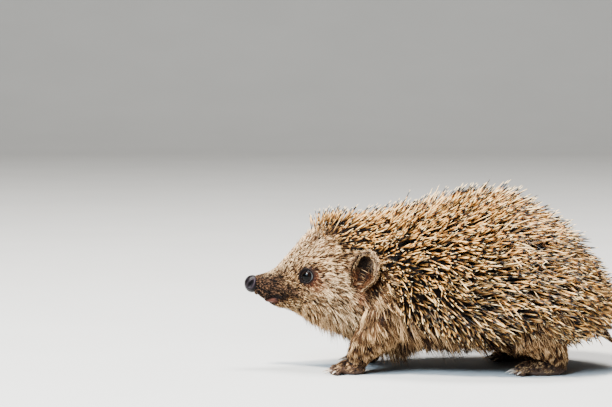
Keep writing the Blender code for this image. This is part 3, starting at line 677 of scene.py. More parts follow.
def claw_looks():
    n = Nodes("claw_horn", Roughness=0.32, Coat_Weight=0.2)
    streaks = n.noise(1.1 * MM, 3)
    horn = ((0.0, (0.16, 0.105, 0.075)), (0.45, (0.30, 0.215, 0.15)), (1.0, (0.62, 0.52, 0.41)))
    colour = n.ramp(n.attribute("along"), horn)
    n.set("Base Color", n.mix(n.line(streaks, 0.55), colour, (0.10, 0.062, 0.042)))
    n.set("Roughness", n.line(streaks, 0.25, 0.22))
    n.bump(streaks, 0.08 * MM, 0.5)
    return n.material


def floor_looks():
    n = Nodes("floor_pale", Roughness=0.75)
    n.set("Base Color", n.mix(n.noise(0.12, 3), (0.36, 0.355, 0.345), (0.40, 0.395, 0.385)))
    return n.material


# Meshes from arrays


def new_object(name, data, looks=None):
    obj = bpy.data.objects.new(name, data)
    bpy.context.scene.collection.objects.link(obj)
    if looks:
        data.materials.clear()
        data.materials.append(looks)
    return obj


def settle(obj):
    """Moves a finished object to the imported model's place and lets it ride on the one body."""
    obj.data.transform(Matrix.Translation(Vector(SHIFT)))
    obj.data.polygons.foreach_set("use_smooth", np.ones(len(obj.data.polygons), bool))
    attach(obj, "root")
    return obj


def set_values(mesh, name, values):
    layer = mesh.attributes.new(name, "FLOAT", "POINT")
    layer.data.foreach_set("value", np.ascontiguousarray(values, np.float32))


def read_points(mesh):
    points = np.zeros(len(mesh.vertices) * 3, np.float32)
    mesh.vertices.foreach_get("co", points)
    return points.reshape(-1, 3).astype(float)


def write_points(mesh, points):
    mesh.vertices.foreach_set("co", np.ascontiguousarray(points, np.float32).ravel())


def mesh_from(name, verts, faces):
    """A mesh from an array of points and a list of arrays of faces, each of one size."""
    mesh = bpy.data.meshes.new(name)
    mesh.vertices.add(len(verts))
    write_points(mesh, verts)
    corners = np.concatenate([f.ravel() for f in faces])
    sizes = np.concatenate([np.full(len(f), f.shape[1]) for f in faces])
    mesh.loops.add(len(corners))
    mesh.loops.foreach_set("vertex_index", corners.astype(np.int32))
    mesh.polygons.add(len(sizes))
    starts = np.concatenate([[0], np.cumsum(sizes)[:-1]])
    mesh.polygons.foreach_set("loop_start", starts.astype(np.int32))
    mesh.update(calc_edges=True)
    return mesh


def mesh_of(bm, name):
    mesh = bpy.data.meshes.new(name)
    bm.to_mesh(mesh)
    bm.free()
    return mesh


def joined(name, meshes):
    bm = bmesh.new()
    for mesh in meshes:
        bm.from_mesh(mesh)
        bpy.data.meshes.remove(mesh)
    return mesh_of(bm, name)


def ball(segments, rings, centre=(0, 0, 0), radii=(1, 1, 1), name="ball"):
    bm = bmesh.new()
    bmesh.ops.create_uvsphere(bm, u_segments=segments, v_segments=rings, radius=1.0)
    place = Matrix.Translation(Vector(centre)) @ Matrix.Diagonal((*radii, 1))
    bmesh.ops.transform(bm, matrix=place, verts=bm.verts)
    return mesh_of(bm, name)


def applied(obj):
    """The object's mesh with its modifiers applied. The object is removed."""
    graph = bpy.context.evaluated_depsgraph_get()
    mesh = bpy.data.meshes.new_from_object(obj.evaluated_get(graph))
    old = obj.data
    bpy.data.objects.remove(obj)
    bpy.data.meshes.remove(old)
    return mesh


def tree_of(mesh):
    return BVHTree.FromPolygons([v.co for v in mesh.vertices], [p.vertices for p in mesh.polygons])


def grid_faces(rows, columns, closed=True):
    """Quads of a grid of rows by columns of vertices, facing out for rings that turn from the
    ridge to the right while the rows go back."""
    steps = np.arange(columns if closed else columns - 1)
    r, c = np.meshgrid(np.arange(rows - 1), steps, indexing="ij")
    n = (c + 1) % columns
    here, behind = r * columns, (r + 1) * columns
    return np.stack([here + c, behind + c, behind + n, here + n], axis=-1).reshape(-1, 4)


def tube_faces(rings, around):
    """The sides and the two end caps of a closed tube."""
    first = np.arange(around)
    last = (first + (rings - 1) * around)[::-1]
    return [grid_faces(rings, around), first[None], last[None]]


def tube(path, radii, across, sides, squash=1.0):
    """(points, faces) of a closed round tube through the path."""
    ahead = unit(np.gradient(path, axis=0))
    side = unit(np.cross(ahead, np.array(across, float)))
    over = unit(np.cross(side, ahead))
    turns = (2 * math.pi * np.arange(sides) / sides)[None, :, None]
    rings = path[:, None] + radii[:, None, None] * (
        np.cos(turns) * side[:, None] + squash * np.sin(turns) * over[:, None]
    )
    return rings.reshape(-1, 3), tube_faces(len(path), sides)


def corners(*values):
    """The corners of faces on a strand's patch, from their places across and along in turn."""
    return np.stack(np.broadcast_arrays(*values), axis=-1).reshape(-1, len(values) // 2, 2)


class Strands:
    """Many tapered strands of one build, with a path, a width and colours for each."""

    def __init__(self, stops, profile, sides, flat):
        self.stops = np.array(stops, float)
        self.profile = np.array(profile, float)
        self.sides, self.flat = sides, flat
        self.rings = len(stops) - 1
        self.rows = []

    def grow(self, p, normal, lie, lift, curl, length, droop=0.0, sink=0.3 * MM):
        """Paths that leave the roots at the lift, curl down towards the lie and droop."""
        at, path = p, [p - normal * sink]
        for before, after in zip(self.stops, self.stops[1:]):
            share = (before + after) / 2
            angle = lift - curl * share
            ahead = normal * np.sin(angle)[:, None] + lie * np.cos(angle)[:, None]
            ahead[:, 2] -= droop * share
            at = at + unit(ahead) * (length * (after - before))[:, None]
            path.append(at)
        return np.stack(path, axis=1)

    def clump(self, paths, size, pull):
        """Draws about size neighbouring strands together towards their tips, as hanging fur does.

        Also gives the number of each strand's clump."""
        roots = paths[:, 0]
        chance = 1 / np.broadcast_to(size, len(roots))
        leaders = RNG.choice(len(roots), max(1, int(chance.sum())), replace=False, p=chance / chance.sum())
        tree = KDTree(len(leaders))
        for i, leader in enumerate(leaders):
            tree.insert(roots[leader], i)
        tree.balance()
        group = np.array([tree.find(p)[1] for p in roots])
        share = np.broadcast_to(pull, len(roots))[:, None] * self.stops[None] ** 1.2
        return paths + share[:, :, None] * (paths[leaders[group]] - paths), group

    def add(self, paths, normal, width, uv, marks, keep=None, group=None, contrast=1.0, shade=1.0, own=0.3):
        """Takes the strands to keep, or all. Strands of one group share their tone but for their
        own part. A shade under 1 darkens."""
        keep = np.ones(len(paths), bool) if keep is None else keep
        width, shade, own = (np.broadcast_to(v, len(paths))[keep] for v in (width, shade, own))
        paths, normal, uv, marks = (v[keep] for v in (paths, normal, uv, marks))
        tone = RNG.random(len(paths))
        if group is not None:
            group = group[keep]
            tone = own * tone + (1 - own) * RNG.random(group.max() + 1)[group]
        tone = np.clip(0.5 + contrast * (tone - 0.5), 0, 1) * shade
        self.rows.append((paths, normal, width, uv, marks, tone, RNG.random(len(paths))))

    def build(self, name, looks, nodes):
        """One object for each share of the strands that keeps to the triangle limit."""
        paths, normal, width, uv, marks, tone, kind = (np.concatenate(c) for c in zip(*self.rows))
        order = np.argsort(paths[:, 0, 0], kind="stable")
        triangles = (self.rings - 1) * self.sides * 2 + self.sides + self.sides - 2
        parts = math.ceil(len(order) * triangles / PIECE_LIMIT)
        along = np.append(np.repeat(self.stops[:-1], self.sides), 1.0)
        for i, chosen in enumerate(np.array_split(order, parts)):
            label = name if parts == 1 else f"{name}_{i + 1}"
            mesh = self.mesh(label, paths[chosen], normal[chosen], width[chosen], uv[chosen])
            set_values(mesh, "along", np.tile(along, len(chosen)))
            for key, values in zip(("tone", "kind", *MARKS), (tone, kind, *marks.T)):
                set_values(mesh, key, np.repeat(values[chosen], len(along)))
            obj = settle(new_object(label, mesh, looks))
            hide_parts(*nodes)

    def mesh(self, name, paths, normal, width, uv):
        """Rings of each strand along its path, a tip, a flat base and the map for baking."""
        count, sides, rings = len(paths), self.sides, self.rings
        ahead = unit(np.gradient(paths, axis=1))
        side = unit(np.cross(ahead, normal[:, None]))
        over = unit(np.cross(side, ahead))
        turns = 2 * math.pi * np.arange(sides) / sides + math.pi / 2
        radius = (width[:, None] * self.profile)[:, :, None, None]
        ring = paths[:, :rings, None] + radius * (
            np.cos(turns)[:, None] * side[:, :rings, None]
            + self.flat * np.sin(turns)[:, None] * over[:, :rings, None]
        )
        verts = np.concatenate([ring.reshape(count, -1, 3), paths[:, rings:]], axis=1)
        starts = (np.arange(count) * verts.shape[1])[:, None, None]
        k = np.arange(sides)
        top = (rings - 1) * sides
        tip = np.stack([top + k, np.full(sides, rings * sides), top + (k + 1) % sides], 1)
        patterns = (grid_faces(rings, sides), tip, k[None])
        faces = [(starts + f[None]).reshape(-1, f.shape[1]) for f in patterns]
        mesh = mesh_from(name, verts.reshape(-1, 3), faces)
        left, right = k / sides, (k + 1) / sides
        low, high, last = self.stops[: rings - 1, None], self.stops[1:rings, None], self.stops[rings - 1]
        quad_uv = corners(left, low, left, high, right, high, right, low)
        tip_uv = corners(left, last, (left + right) / 2, 1.0, right, last)
        base_uv = np.stack([0.5 + 0.1 * np.cos(turns), 0.12 + 0.1 * np.sin(turns)], 1)[None]
        patches = (quad_uv, tip_uv, base_uv)
        places = [(uv[:, None, None, :] + PATCH * f[None]).reshape(-1, 2) for f in patches]
        layer = mesh.uv_layers.new(name="OFBake")
        layer.data.foreach_set("uv", np.concatenate(places).astype(np.float32).ravel())
        return mesh


# The skin


def dense_steps(high, count, centres, width, gain):
    """Numbers from 0 to high that lie closer together round the centres."""
    fine = np.linspace(0, high, 4000)
    weight = 1 + gain * sum(bell(fine - c, width) for c in centres)
    total = np.cumsum(weight)
    total = (total - total[0]) / (total[-1] - total[0])
    return np.interp(np.linspace(0, 1, count), total, fine)


def face_detail(p, normal):
    """Moves skin points to form the lids, the mouth line and the lips."""
    lid = np.interp(eye_gap(p), *LID_FORM) * (p[:, 0] < -60 * MM)
    _, axis = nearer_eye(p)
    p = p + axis * (lid * MM)[:, None]
    front = p[:, 0] < -82 * MM
    q = p[front]
    form = (0.45 + 0.65 * ease(-q[:, 0] / MM, 94, 101)) * by_line(q, LOWER_LIP, 1.2)
    form += 0.30 * by_line(q, UPPER_LIP, 0.9) - 1.1 * by_line(q, MOUTH, 0.50)
    p[front] = q + normal[front] * (form * MM)[:, None]
    return p


def skin_ring(s, angles):
    point, normal, _, _ = skin_frame(np.full(len(angles), s), angles)
    return face_detail(point, normal)


def dome(ring, centre, turn):
    """The ring drawn in and forward, to close the muzzle's end round the nose."""
    drawn = centre + (ring - centre) * math.cos(turn) ** 0.55
    return drawn - np.array((DOME_LENGTH * math.sin(turn), 0, 0))


def trunk_mesh():
    """The head and body in one closed mesh, finer at the face."""
    stations = dense_steps(HULL.last, count=250, centres=(0.6, 1.6, 3.0), width=0.9, gain=3.0)
    eye_and_mouth = (angle_at(EYE_X, EYE_Z), 2.2)
    half = dense_steps(math.pi, count=125, centres=eye_and_mouth, width=0.33, gain=1.6)
    angles = np.concatenate([-half[:0:-1], half[:-1]])
    rings = [skin_ring(s, angles) for s in stations]
    rings = [dome(rings[0], rings[0].mean(0), t) for t in np.linspace(1.45, 0.15, 9)] + rings
    return mesh_from("trunk", np.concatenate(rings), tube_faces(len(rings), len(angles)))


def leg_plan(name):
    """(joint path, radii, foot centre, foot size, toe length, claw length) of a leg, in metres."""
    plan = FORELEG if name.startswith("fore") else HINDLEG
    side = LEFT if name.endswith("left") else RIGHT
    step = STEPS[name]
    rows = np.array(plan["joints"], float)
    rows[:, 0] += step * (1 - (rows[:, 2] - 6) / 30)
    rows[:, 1] *= side
    rows = spline(rows * MM, 26)
    x, y, z = plan["foot_at"]
    foot = np.array((x + step, side * y, z)) * MM
    size = np.array(plan["foot_size"]) * MM - FUR_ON_FOOT
    toe, claw = plan["toe_length"] * MM, plan["claw_length"] * MM
    return rows[:, :3], rows[:, 3] - FUR_ON_LEG, foot, size, toe, claw


def toe_paths(name):
    """For each toe, its path out to the claw's root, and the claw's path."""
    _, _, foot, size, toe_length, claw_length = leg_plan(name)
    size = size + FUR_ON_FOOT
    up = np.array((0, 0, 1))
    for k in range(-2, 3):
        turn = k * TOE_SPREAD
        ahead = np.array((-math.cos(turn), math.sin(turn), 0))
        toe, claw = (length * (1 - 0.09 * k * k) for length in (toe_length, claw_length))
        knuckle = foot + np.array((-size[0] * 0.55, size[1] * 0.36 * k, -0.8 * MM))
        reach = np.array((0, 0.3, 0.6, 0.85, 1.0))[:, None] * toe
        rise = np.array((0, 0.6, 0.5, -0.1, -0.5))[:, None] * MM
        claw_share = np.linspace(-0.25, 1, 9)[:, None]
        drop = -0.4 - 0.2 * claw_share - 1.3 * np.clip(claw_share, 0, 1) ** 2
        toe_path = knuckle + ahead * reach + up * rise
        yield toe_path, knuckle + ahead * (toe + claw * claw_share) + up * drop * MM


def on_floor(at, height):
    """The place above or below a point that lies at a height in millimetres over the floor."""
    return at * (1, 1, 0) + np.array((0, 0, height * MM))


def leg_mesh(name):
    """A leg with foot, toes and pads, its pieces melted into one smooth closed mesh."""
    path, radii, foot, size, _, _ = leg_plan(name)
    meshes = [mesh_from("limb", *tube(path, radii, (0, 1, 0), 24)), ball(32, 20, foot, size)]
    widths = np.interp(np.linspace(0, 1, 12), (0, 0.35, 0.75, 0.93, 1), (1.9, 1.75, 1.7, 1.25, 0.5)) * MM
    for toe, _ in toe_paths(name):
        toe = spline(toe, 12)
        meshes.append(mesh_from("toe", *tube(toe, widths, (0, 0, 1), 12)))
        meshes.append(ball(16, 10, on_floor(toe[8], 1.3), np.array((1.9, 1.5, 1.3)) * MM))
    heel = np.array((0.45 * size[0], 0, 0))
    for shift, radius in ((-0.15 * heel, 3.6), (0.9 * heel, 3.2)):
        radii = np.array((radius, radius * 1.05, 1.5)) * MM
        meshes.append(ball(24, 12, on_floor(foot + shift, 1.5), radii))
    obj = new_object("leg", joined("leg", meshes))
    melt = obj.modifiers.new("melt", "REMESH")
    melt.mode = "VOXEL"
    melt.voxel_size = LEG_GRAIN
    soften = obj.modifiers.new("soften", "SMOOTH")
    soften.factor = 0.5
    soften.iterations = 5
    mesh = applied(obj)
    points = read_points(mesh)
    points[:, 2] = np.maximum(points[:, 2], 0.02 * MM)
    write_points(mesh, points)
    return mesh


def ear_axes(side):
    """(root, upward, facing and backward directions) of an ear."""
    point, normal = place_on_side(EAR_X, EAR_Z, side)
    mirror = np.array((1, side, 1))
    up = unit(np.array(EAR_UP)) * mirror
    facing = np.array(EAR_FACING) * mirror
    facing = unit(facing - up * (facing @ up))
    return point + normal * EAR_STANDOFF - up * 0.45 * EAR_HEIGHT, up, facing, unit(np.cross(up, facing))


def ear_outline(h):
    """(half width, shift towards the front edge) of the ear at shares of its height."""
    width = EAR_HALF_WIDTH * (1 - np.clip((h - 0.42) / 0.58, 0, 1) ** 2.4) ** 0.5
    low = 1 - ease(h, 0, 0.45)
    return width * (1 - 0.48 * low), 2.2 * MM * low


def ear_points(side, a, h, depth):
    """Points of the ear at shares across (-1 to 1) and up (0 to 1), at a depth below its back."""
    root, up, facing, across = ear_axes(side)
    width, shift = ear_outline(h)
    turn = a * np.radians(104 - 34 * h)
    wide = np.maximum(width - depth, 0.25 * MM)
    lean = 2.2 * MM * h**2
    fold = 0.9 * MM * bell(np.abs(a) - 0.93, 0.10) * ease(h, 0.1, 0.4)
    return (
        root
        + up * (h * (EAR_HEIGHT - depth))[:, None]
        + across * (wide * np.sin(turn) + side * shift)[:, None]
        - facing * (0.72 * wide * np.cos(turn) + lean - fold)[:, None]
        + facing * 0.2 * MM
    )


def ear_hollow(p):
    """Shares at points on the head: inside an ear's hollow, towards its front edge, up its height."""
    made = np.zeros((3, len(p)))
    for side in (LEFT, RIGHT):
        root, up, facing, across = ear_axes(side)
        away = p - root
        h, f = away @ up / EAR_HEIGHT, away @ facing / MM
        width, shift = ear_outline(np.clip(h, 0, 0.95))
        a = (away @ across - side * shift) / width
        inside = (1 - ease(np.abs(a), 0.7, 0.95)) * ease(h, -0.05, 0.07) * (1 - ease(h, 0.8, 0.96))
        inside *= ease(f, -9, -6) * (1 - ease(f, 3, 7))
        here = p[:, 1] * side > 0
        made[:, here] = np.stack([inside, ease(a * side, -0.4, 0.3), h])[:, here]
    return made


def ear_mesh(side):
    """A thin cupped ear with a rounded rim."""
    columns, rows = EAR_STEPS_ACROSS + 1, EAR_STEPS_UP + 1
    a = np.tile(np.linspace(-1, 1, columns), rows)
    h = np.repeat(EAR_TOP * np.linspace(0, 1, rows), columns)
    sheets = [ear_points(side, a, h, depth) for depth in (EAR_BACK_DEPTH, EAR_FRONT_DEPTH)]
    count = len(a)
    number = np.arange(count).reshape(rows, columns)
    edge = np.concatenate([number[0, :-1], number[:-1, -1], number[-1, :0:-1], number[:0:-1, 0]])
    after = np.roll(edge, -1)
    rim = np.stack([edge, after, after + count, edge + count], 1)
    back = grid_faces(rows, columns, closed=False)
    bm = bmesh.new()
    bm.from_mesh(mesh_from("sheets", np.concatenate(sheets), [back, back[:, ::-1] + count, rim]))
    bmesh.ops.recalc_face_normals(bm, faces=bm.faces)
    if bm.calc_volume(signed=True) < 0:
        bmesh.ops.reverse_faces(bm, faces=bm.faces)
    obj = new_object("ear", mesh_of(bm, "ear"))
    obj.modifiers.new("smoother", "SUBSURF").levels = 1
    return applied(obj)


def tail_mesh():
    point = HULL.frame(HULL.station_at(95 * MM), math.radians(152))[0][0]
    root = np.array((point[0], 0, point[2])) - TAIL_LEAN * TAIL_SINK
    t = np.linspace(0, 1, 20)[:, None]
    path = root + TAIL_LEAN * (TAIL_LENGTH + TAIL_SINK) * t - np.array((0, 0, 3 * MM)) * t * t
    taper = np.interp(t[:, 0], (0, 0.35, 0.7, 0.93, 1), (1.15, 1.0, 0.7, 0.36, 0.12))
    return mesh_from("tail", *tube(path, taper * (TAIL_RADIUS - 0.4 * MM), (0, 1, 0), 20))


def union_mesh(parts):
    """The trunk and the parts in one closed mesh."""
    skin = new_object("skin", trunk_mesh())
    group = bpy.data.collections.new("skin_parts")
    bpy.context.scene.collection.children.link(group)
    extras = [bpy.data.objects.new("extra", mesh) for mesh in parts]
    for extra in extras:
        group.objects.link(extra)
    union = skin.modifiers.new("union", "BOOLEAN")
    union.operation = "UNION"
    union.operand_type = "COLLECTION"
    union.collection = group
    union.solver = "MANIFOLD"
    mesh = applied(skin)
    for extra in extras:
        bpy.data.objects.remove(extra)
    bpy.data.collections.remove(group)
    return mesh


def soften_joins(mesh, points, trees):
    """Smooths the skin near the lines where legs, ears and tail leave the trunk."""
    reach = 2.5 * MM
    height = np.abs(HULL.height(points) - relief(points, np.zeros(len(points))))
    weight = np.zeros(len(points))
    for i in np.nonzero(height < 3.0 * MM)[0]:
        for tree in trees:
            gap = tree.find_nearest(points[i], reach)[3]
            if gap is not None:
                weight[i] = max(weight[i], 1 - gap / reach)
    edges = np.zeros(len(mesh.edges) * 2, np.int32)
    mesh.edges.foreach_get("vertices", edges)
    a, b = edges.reshape(-1, 2).T
    degree = np.bincount(np.concatenate([a, b]), minlength=len(points))[:, None]
    for _ in range(12):
        total = np.zeros_like(points)
        np.add.at(total, a, points[b])
        np.add.at(total, b, points[a])
        points += 0.6 * weight[:, None] * (total / np.maximum(degree, 1) - points)
    write_points(mesh, points)
    mesh.update()


def face_values(points, marks):
    """(moist, bare) shares of the lids and lips. The slit of the mouth goes into the marks as dark, a
    painted shade in the mouth's crease.
    """
    head = points[:, 0] < -60 * MM
    q = points[head]
    lip = by_line(q, LOWER_LIP - np.array((0, 0, 0.8 * MM)), 1.9)
    slit = by_line(q, MOUTH, 0.7)
    moist, bare = np.zeros((2, len(points)))
    moist[head] = np.maximum(bell(eye_gap(q) - 3.6, 0.3), lip)
    bare[head] = lip * ease(-q[:, 0] / MM, 96.5, 99.5) * (1 - slit)
    # Painted shade: the skin turns dark along the mouth's crease.
    marks[head, DARK] = np.maximum(marks[head, DARK], slit)
    return moist, bare


def ear_values(mesh, points, marks, ears):
    """1 on the ears' skin and 0 elsewhere. The hollow's colours go into the marks: dark towards the front as
    painted shade in the hollow, red low down.
    """
    on_ear = np.zeros(len(points))
    by_ear = (points[:, 0] > -65 * MM) & (points[:, 0] < -20 * MM) & (HULL.height(points) > 0.6 * MM)
    for side, ear in ears.items():
        tree = tree_of(ear)
        root, up, facing, across = ear_axes(side)
        for i in np.nonzero(by_ear & (points[:, 1] * side > 0))[0]:
            if tree.find_nearest(points[i], 1.0 * MM)[0] is None:
                continue
            on_ear[i] = 1
            away = points[i] - root
            high = away @ up / EAR_HEIGHT
            inner = ease(np.array(mesh.vertices[i].normal) @ facing, 0.0, 0.35)
            inner *= 1 - ease((away @ across) * -side / EAR_HALF_WIDTH, -0.45, 0.1)
            # Painted shade: the inner face darkens towards the front, up to near the top.
            marks[i, DARK] = 0.95 * inner * (1 - ease(high, 0.78, 0.9))
            marks[i, RED] = 0.5 * inner * (1 - ease(high, 0.3, 0.5))
    return on_ear


def make_skin(legs, ears, tail, looks):
    """The one skin: trunk, legs, ears and tail in one closed mesh, smoothed where they meet."""
    parts = (*legs.values(), *ears.values(), tail)
    mesh = union_mesh(parts)
    points = read_points(mesh)
    soften_joins(mesh, points, [tree_of(part) for part in parts])
    marks = markings(points)
    moist, bare = face_values(points, marks)
    values = {
        "feet": 0.9 * ease(-points[:, 2] / MM, -7.0, -2.5),
        "ear": ear_values(mesh, points, marks, ears),
        "bare": bare,
        "moist": moist,
        **dict(zip(MARKS, marks.T)),
    }
    for name, value in values.items():
        set_values(mesh, name, value)
    mesh.name = "skin"
    obj = new_object("skin", mesh, looks)
    settle(obj)
    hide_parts(*FLESH)
    return obj


# Eyes, nose, claws


def make_eye(name, side, looks):
    """An eyeball with a bulging front over the iris."""
    centre, axis = EYES[side]
    mesh = ball(112, 84, name=name)
    points = read_points(mesh)
    off = np.arccos(np.clip(points @ axis, -1, 1))
    # The edge share places the painted reflection along the lids, fading towards the top as painted shade
    # under the upper lid.
    low = 1 - ease(points[:, 2], -0.2, 0.5)
    edge = ease(off, 0.97, 1.04) * (1 - ease(off, 1.3, 1.4)) * (0.25 + 0.75 * low)
    bulge = 0.035 * np.exp(-((off / 0.62) ** 4))
    write_points(mesh, centre + points * (EYE_RADIUS * (1 + bulge))[:, None])
    set_values(mesh, "off_axis", off)
    set_values(mesh, "edge", edge)
    obj = settle(new_object(name, mesh, looks))
    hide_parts(f"eye_{name.split('_')[0]}")


def make_nose(looks):
    """The bare pad, with comma-shaped nostrils, a groove down its front and raised wings."""
    mesh = ball(128, 96, name="nose_pad")
    points = read_points(mesh)
    x, y, z = points.T
    side = np.abs(y)
    along = 0.64 * (x + 0.13) + 0.77 * (z - 0.10)
    over = 0.77 * (x + 0.13) - 0.64 * (z - 0.10)
    gap = np.hypot(along / 0.52, over / (0.27 - 0.16 * along))
    hole = np.exp(-(gap**4)) * ease(side, 0.45, 0.75)
    wing = bell(gap - 1.25, 0.30) * ease(side, 0.35, 0.6)
    groove = bell(y, 0.07) * ease(-x, 0.2, 0.6) * ease(-z, -0.35, 0.2)
    height = 1 - 0.30 * hole + 0.05 * wing - 0.08 * groove
    write_points(mesh, NOSE_CENTRE + points * NOSE_RADII * 0.985 * height[:, None])
    # The rim share paints the raised wings a paler purplish grey, paler towards the back: partly the wings'
    # own paler skin, partly a painted sheen.
    set_values(mesh, "rim", np.clip(0.9 * wing, 0, 1) * (1 - hole) * (0.4 + 0.6 * ease(x, -0.3, 0.3)))
    set_values(mesh, "hole", hole)
    obj = settle(new_object("nose_pad", mesh, looks))
    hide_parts("nose")


def make_claws(name, looks):
    """The five claws of a foot in one piece."""
    steps, sides = 14, 10
    along = np.linspace(0, 1, steps)
    widths = np.interp(along, (0, 0.2, 0.6, 0.9, 1), (0.85, 0.88, 0.62, 0.26, 0.10)) * MM
    claws = []
    for _, claw in toe_paths(name):
        claw = spline(claw, steps)
        claw[:, 2] = np.maximum(claw[:, 2], 0.35 * MM)
        claws.append(mesh_from("claw", *tube(claw, widths, (0, 0, 1), sides, 0.8)))
    mesh = joined(f"claws_{name}", claws)
    set_values(mesh, "along", np.tile(np.repeat(along, sides), len(claws)))
    settle(new_object(f"claws_{name}", mesh, looks))


# The coat


def spread(points, spacing):
    """Indices of points that lie at least spacing apart, taken in order."""
    cells, kept = {}, []
    keys = np.floor(points / spacing).astype(int)
    around = [(i, j, k) for i in (-1, 0, 1) for j in (-1, 0, 1) for k in (-1, 0, 1)]
    limit = spacing * spacing
    for index, (p, key) in enumerate(zip(points.tolist(), keys.tolist())):
        near = (q for i, j, k in around for q in cells.get((key[0] + i, key[1] + j, key[2] + k), ()))
        if all((p[0] - q[0]) ** 2 + (p[1] - q[1]) ** 2 + (p[2] - q[2]) ** 2 >= limit for q in near):
            cells.setdefault(tuple(key), []).append(p)
            kept.append(index)
    return np.array(kept)


def hull_roots(density):
    """Random (station, angle) over the trunk, as dense for each square millimetre as asked."""
    s_edges = np.linspace(0, HULL.last, STATION_CELLS + 1)
    a_edges = np.linspace(-math.pi, math.pi, ANGLE_CELLS + 1)
    s = np.repeat((s_edges[1:] + s_edges[:-1]) / 2, ANGLE_CELLS)
    a = np.tile((a_edges[1:] + a_edges[:-1]) / 2, STATION_CELLS)
    ds, da = (s_edges[1] - s_edges[0]) / 2, (a_edges[1] - a_edges[0]) / 2
    along = HULL.bare_point(s + ds, a) - HULL.bare_point(s - ds, a)
    down = HULL.bare_point(s, a + da) - HULL.bare_point(s, a - da)
    area = np.linalg.norm(np.cross(along, down), axis=1) / MM**2
    weight = area * density(HULL.bare_point(s, a), a)
    chosen = RNG.choice(len(s), int(weight.sum()), p=weight / weight.sum())
    count = len(chosen)
    return s[chosen] + RNG.uniform(-ds, ds, count), a[chosen] + RNG.uniform(-da, da, count)


def mesh_samples(mesh, per_mm2):
    """Random (points, normals) over a mesh."""
    mesh.calc_loop_triangles()
    triangles = np.array([t.vertices for t in mesh.loop_triangles])
    points = read_points(mesh)
    a, b, c = (points[triangles[:, k]] for k in range(3))
    cross = np.cross(b - a, c - a)
    area = np.linalg.norm(cross, axis=1) / 2 / MM**2
    chosen = RNG.choice(len(area), int(area.sum() * per_mm2), p=area / area.sum())
    u, v = RNG.random(len(chosen)), RNG.random(len(chosen))
    over = u + v > 1
    u[over], v[over] = 1 - u[over], 1 - v[over]
    a, b, c = a[chosen], b[chosen], c[chosen]
    return a + u[:, None] * (b - a) + v[:, None] * (c - a), unit(cross[chosen])


def hull_uv(s, angle):
    """Each place on the trunk's own unwrap, which takes the left part of the map."""
    return np.stack([0.01 + 0.72 * s / HULL.last, 0.01 + 0.97 * (angle / (2 * math.pi) + 0.5)], axis=1)


def inside_legs(p, margin):
    """Whether points lie inside a leg by more than a margin."""
    inside = np.zeros(len(p), bool)
    for name in LEG_NAMES:
        path, radii, *_ = leg_plan(name)
        for a, b, r in zip(path, path[1:], radii):
            along = b - a
            t = np.clip((p - a) @ along / (along @ along), 0, 1)
            gap = np.linalg.norm(p - a - t[:, None] * along, axis=1)
            inside |= gap < r - margin
    return inside


def swirl(lie, normal, noise):
    """Turns the lie about the normal by the noise, in radians."""
    return lie * np.cos(noise)[:, None] + np.cross(normal, lie) * np.sin(noise)[:, None]


def lay(way, normal, noise):
    """The lie of hairs that follow a way along the surface, each turned a little at random."""
    return swirl(along_surface(way, normal), normal, RNG.normal(0, noise, len(normal)))


def keep_clear(path, ear_trees, x):
    """Whether strands keep off the ears, the eyeballs and the floor."""
    ok = (path[:, :, 2] > 0.5 * MM).all(1)
    for centre, _ in EYES.values():
        ok &= (np.linalg.norm(path[:, 1:] - centre, axis=2) > EYE_RADIUS + 0.15 * MM).all(1)
    for i in np.nonzero((x > -66) & (x < -26) & ok)[0]:
        for tree in ear_trees:
            for a, b in zip(path[i, 1:], path[i, 2:]):
                step = Vector(b - a)
                if tree.ray_cast(Vector(a), step.normalized(), step.length)[0] is not None:
                    ok[i] = False
                    break
    return ok


def marks_with(count, **shares):
    """Marks of hairs, 0 but for the shares that are given."""
    return np.stack([np.broadcast_to(shares.get(mark, 0.0), count) for mark in MARKS], axis=1)


def hollow_marks_light_and_shade(front, high):
    """The marks of the hairs in an ear's hollow: black above towards the front, a painted shade under the
    upper rim; red below; grey-brown at the back, paler high up, partly pale fuzz and partly painted light on
    the lit back wall.
    """
    above = ease(high, 0.3, 0.5)
    red = 0.9 * (0.5 + 0.5 * front) * (1 - above)
    pale = 0.4 * (1 - front) * above
    return marks_with(len(front), dark=0.95 * front * above, pale=pale, red=red, brown=0.3 * (1 - front))


def fur_lie(p, normal, back, down, angle):
    """The way the fur lies: back from the nose, down on throat and flanks, round the eyes."""
    x = p[:, 0] / MM
    degrees = degrees_down(angle)
    fall = ease(degrees, 55, 125) * np.interp(x, *FUR_FALL)
    lie = back + down * (fall - 0.22 * (1 - ease(degrees, 20, 80)) * ease(-x, 66, 80))[:, None]
    lie[:, 2] -= 0.35 * ease(x, -60, -30) * ease(degrees, 70, 120)
    centre, axis = nearer_eye(p)
    lie += along_surface(p - centre, axis) * (1.1 * bell(eye_gap(p), 6.5) * (x < -60))[:, None]
    return along_surface(lie, normal)


def fur_density(p, angle):
    x = p[:, 0] / MM
    made = np.interp(x, FUR_X, FUR_DENSITY)
    hidden = 0.6 * made * ease(ahead_of_spines(p, angle), -UNDER_SPINES, 0)
    made = np.where(in_spines(p, angle), hidden, made)
    made = np.where((eye_gap(p) < LID_EDGE) & (x < -60), 0, made)
    made = made * (1 - 0.3 * markings(p)[:, RED])
    return made * (1 - 0.55 * ease(degrees_down(angle), 145, 172) * ease(x, -30, 0))


def muzzle_gap(p, line):
    """Millimetres from a line round the muzzle, and far for points away from the muzzle."""
    gap = np.full(len(p), 9.0)
    front = p[:, 0] < -84 * MM
    gap[front] = line_distance(p[front], line) / MM
    return gap


def on_lip(p):
    return (muzzle_gap(p, LOWER_LIP) < 1.7) & (p[:, 0] < -96.5 * MM)


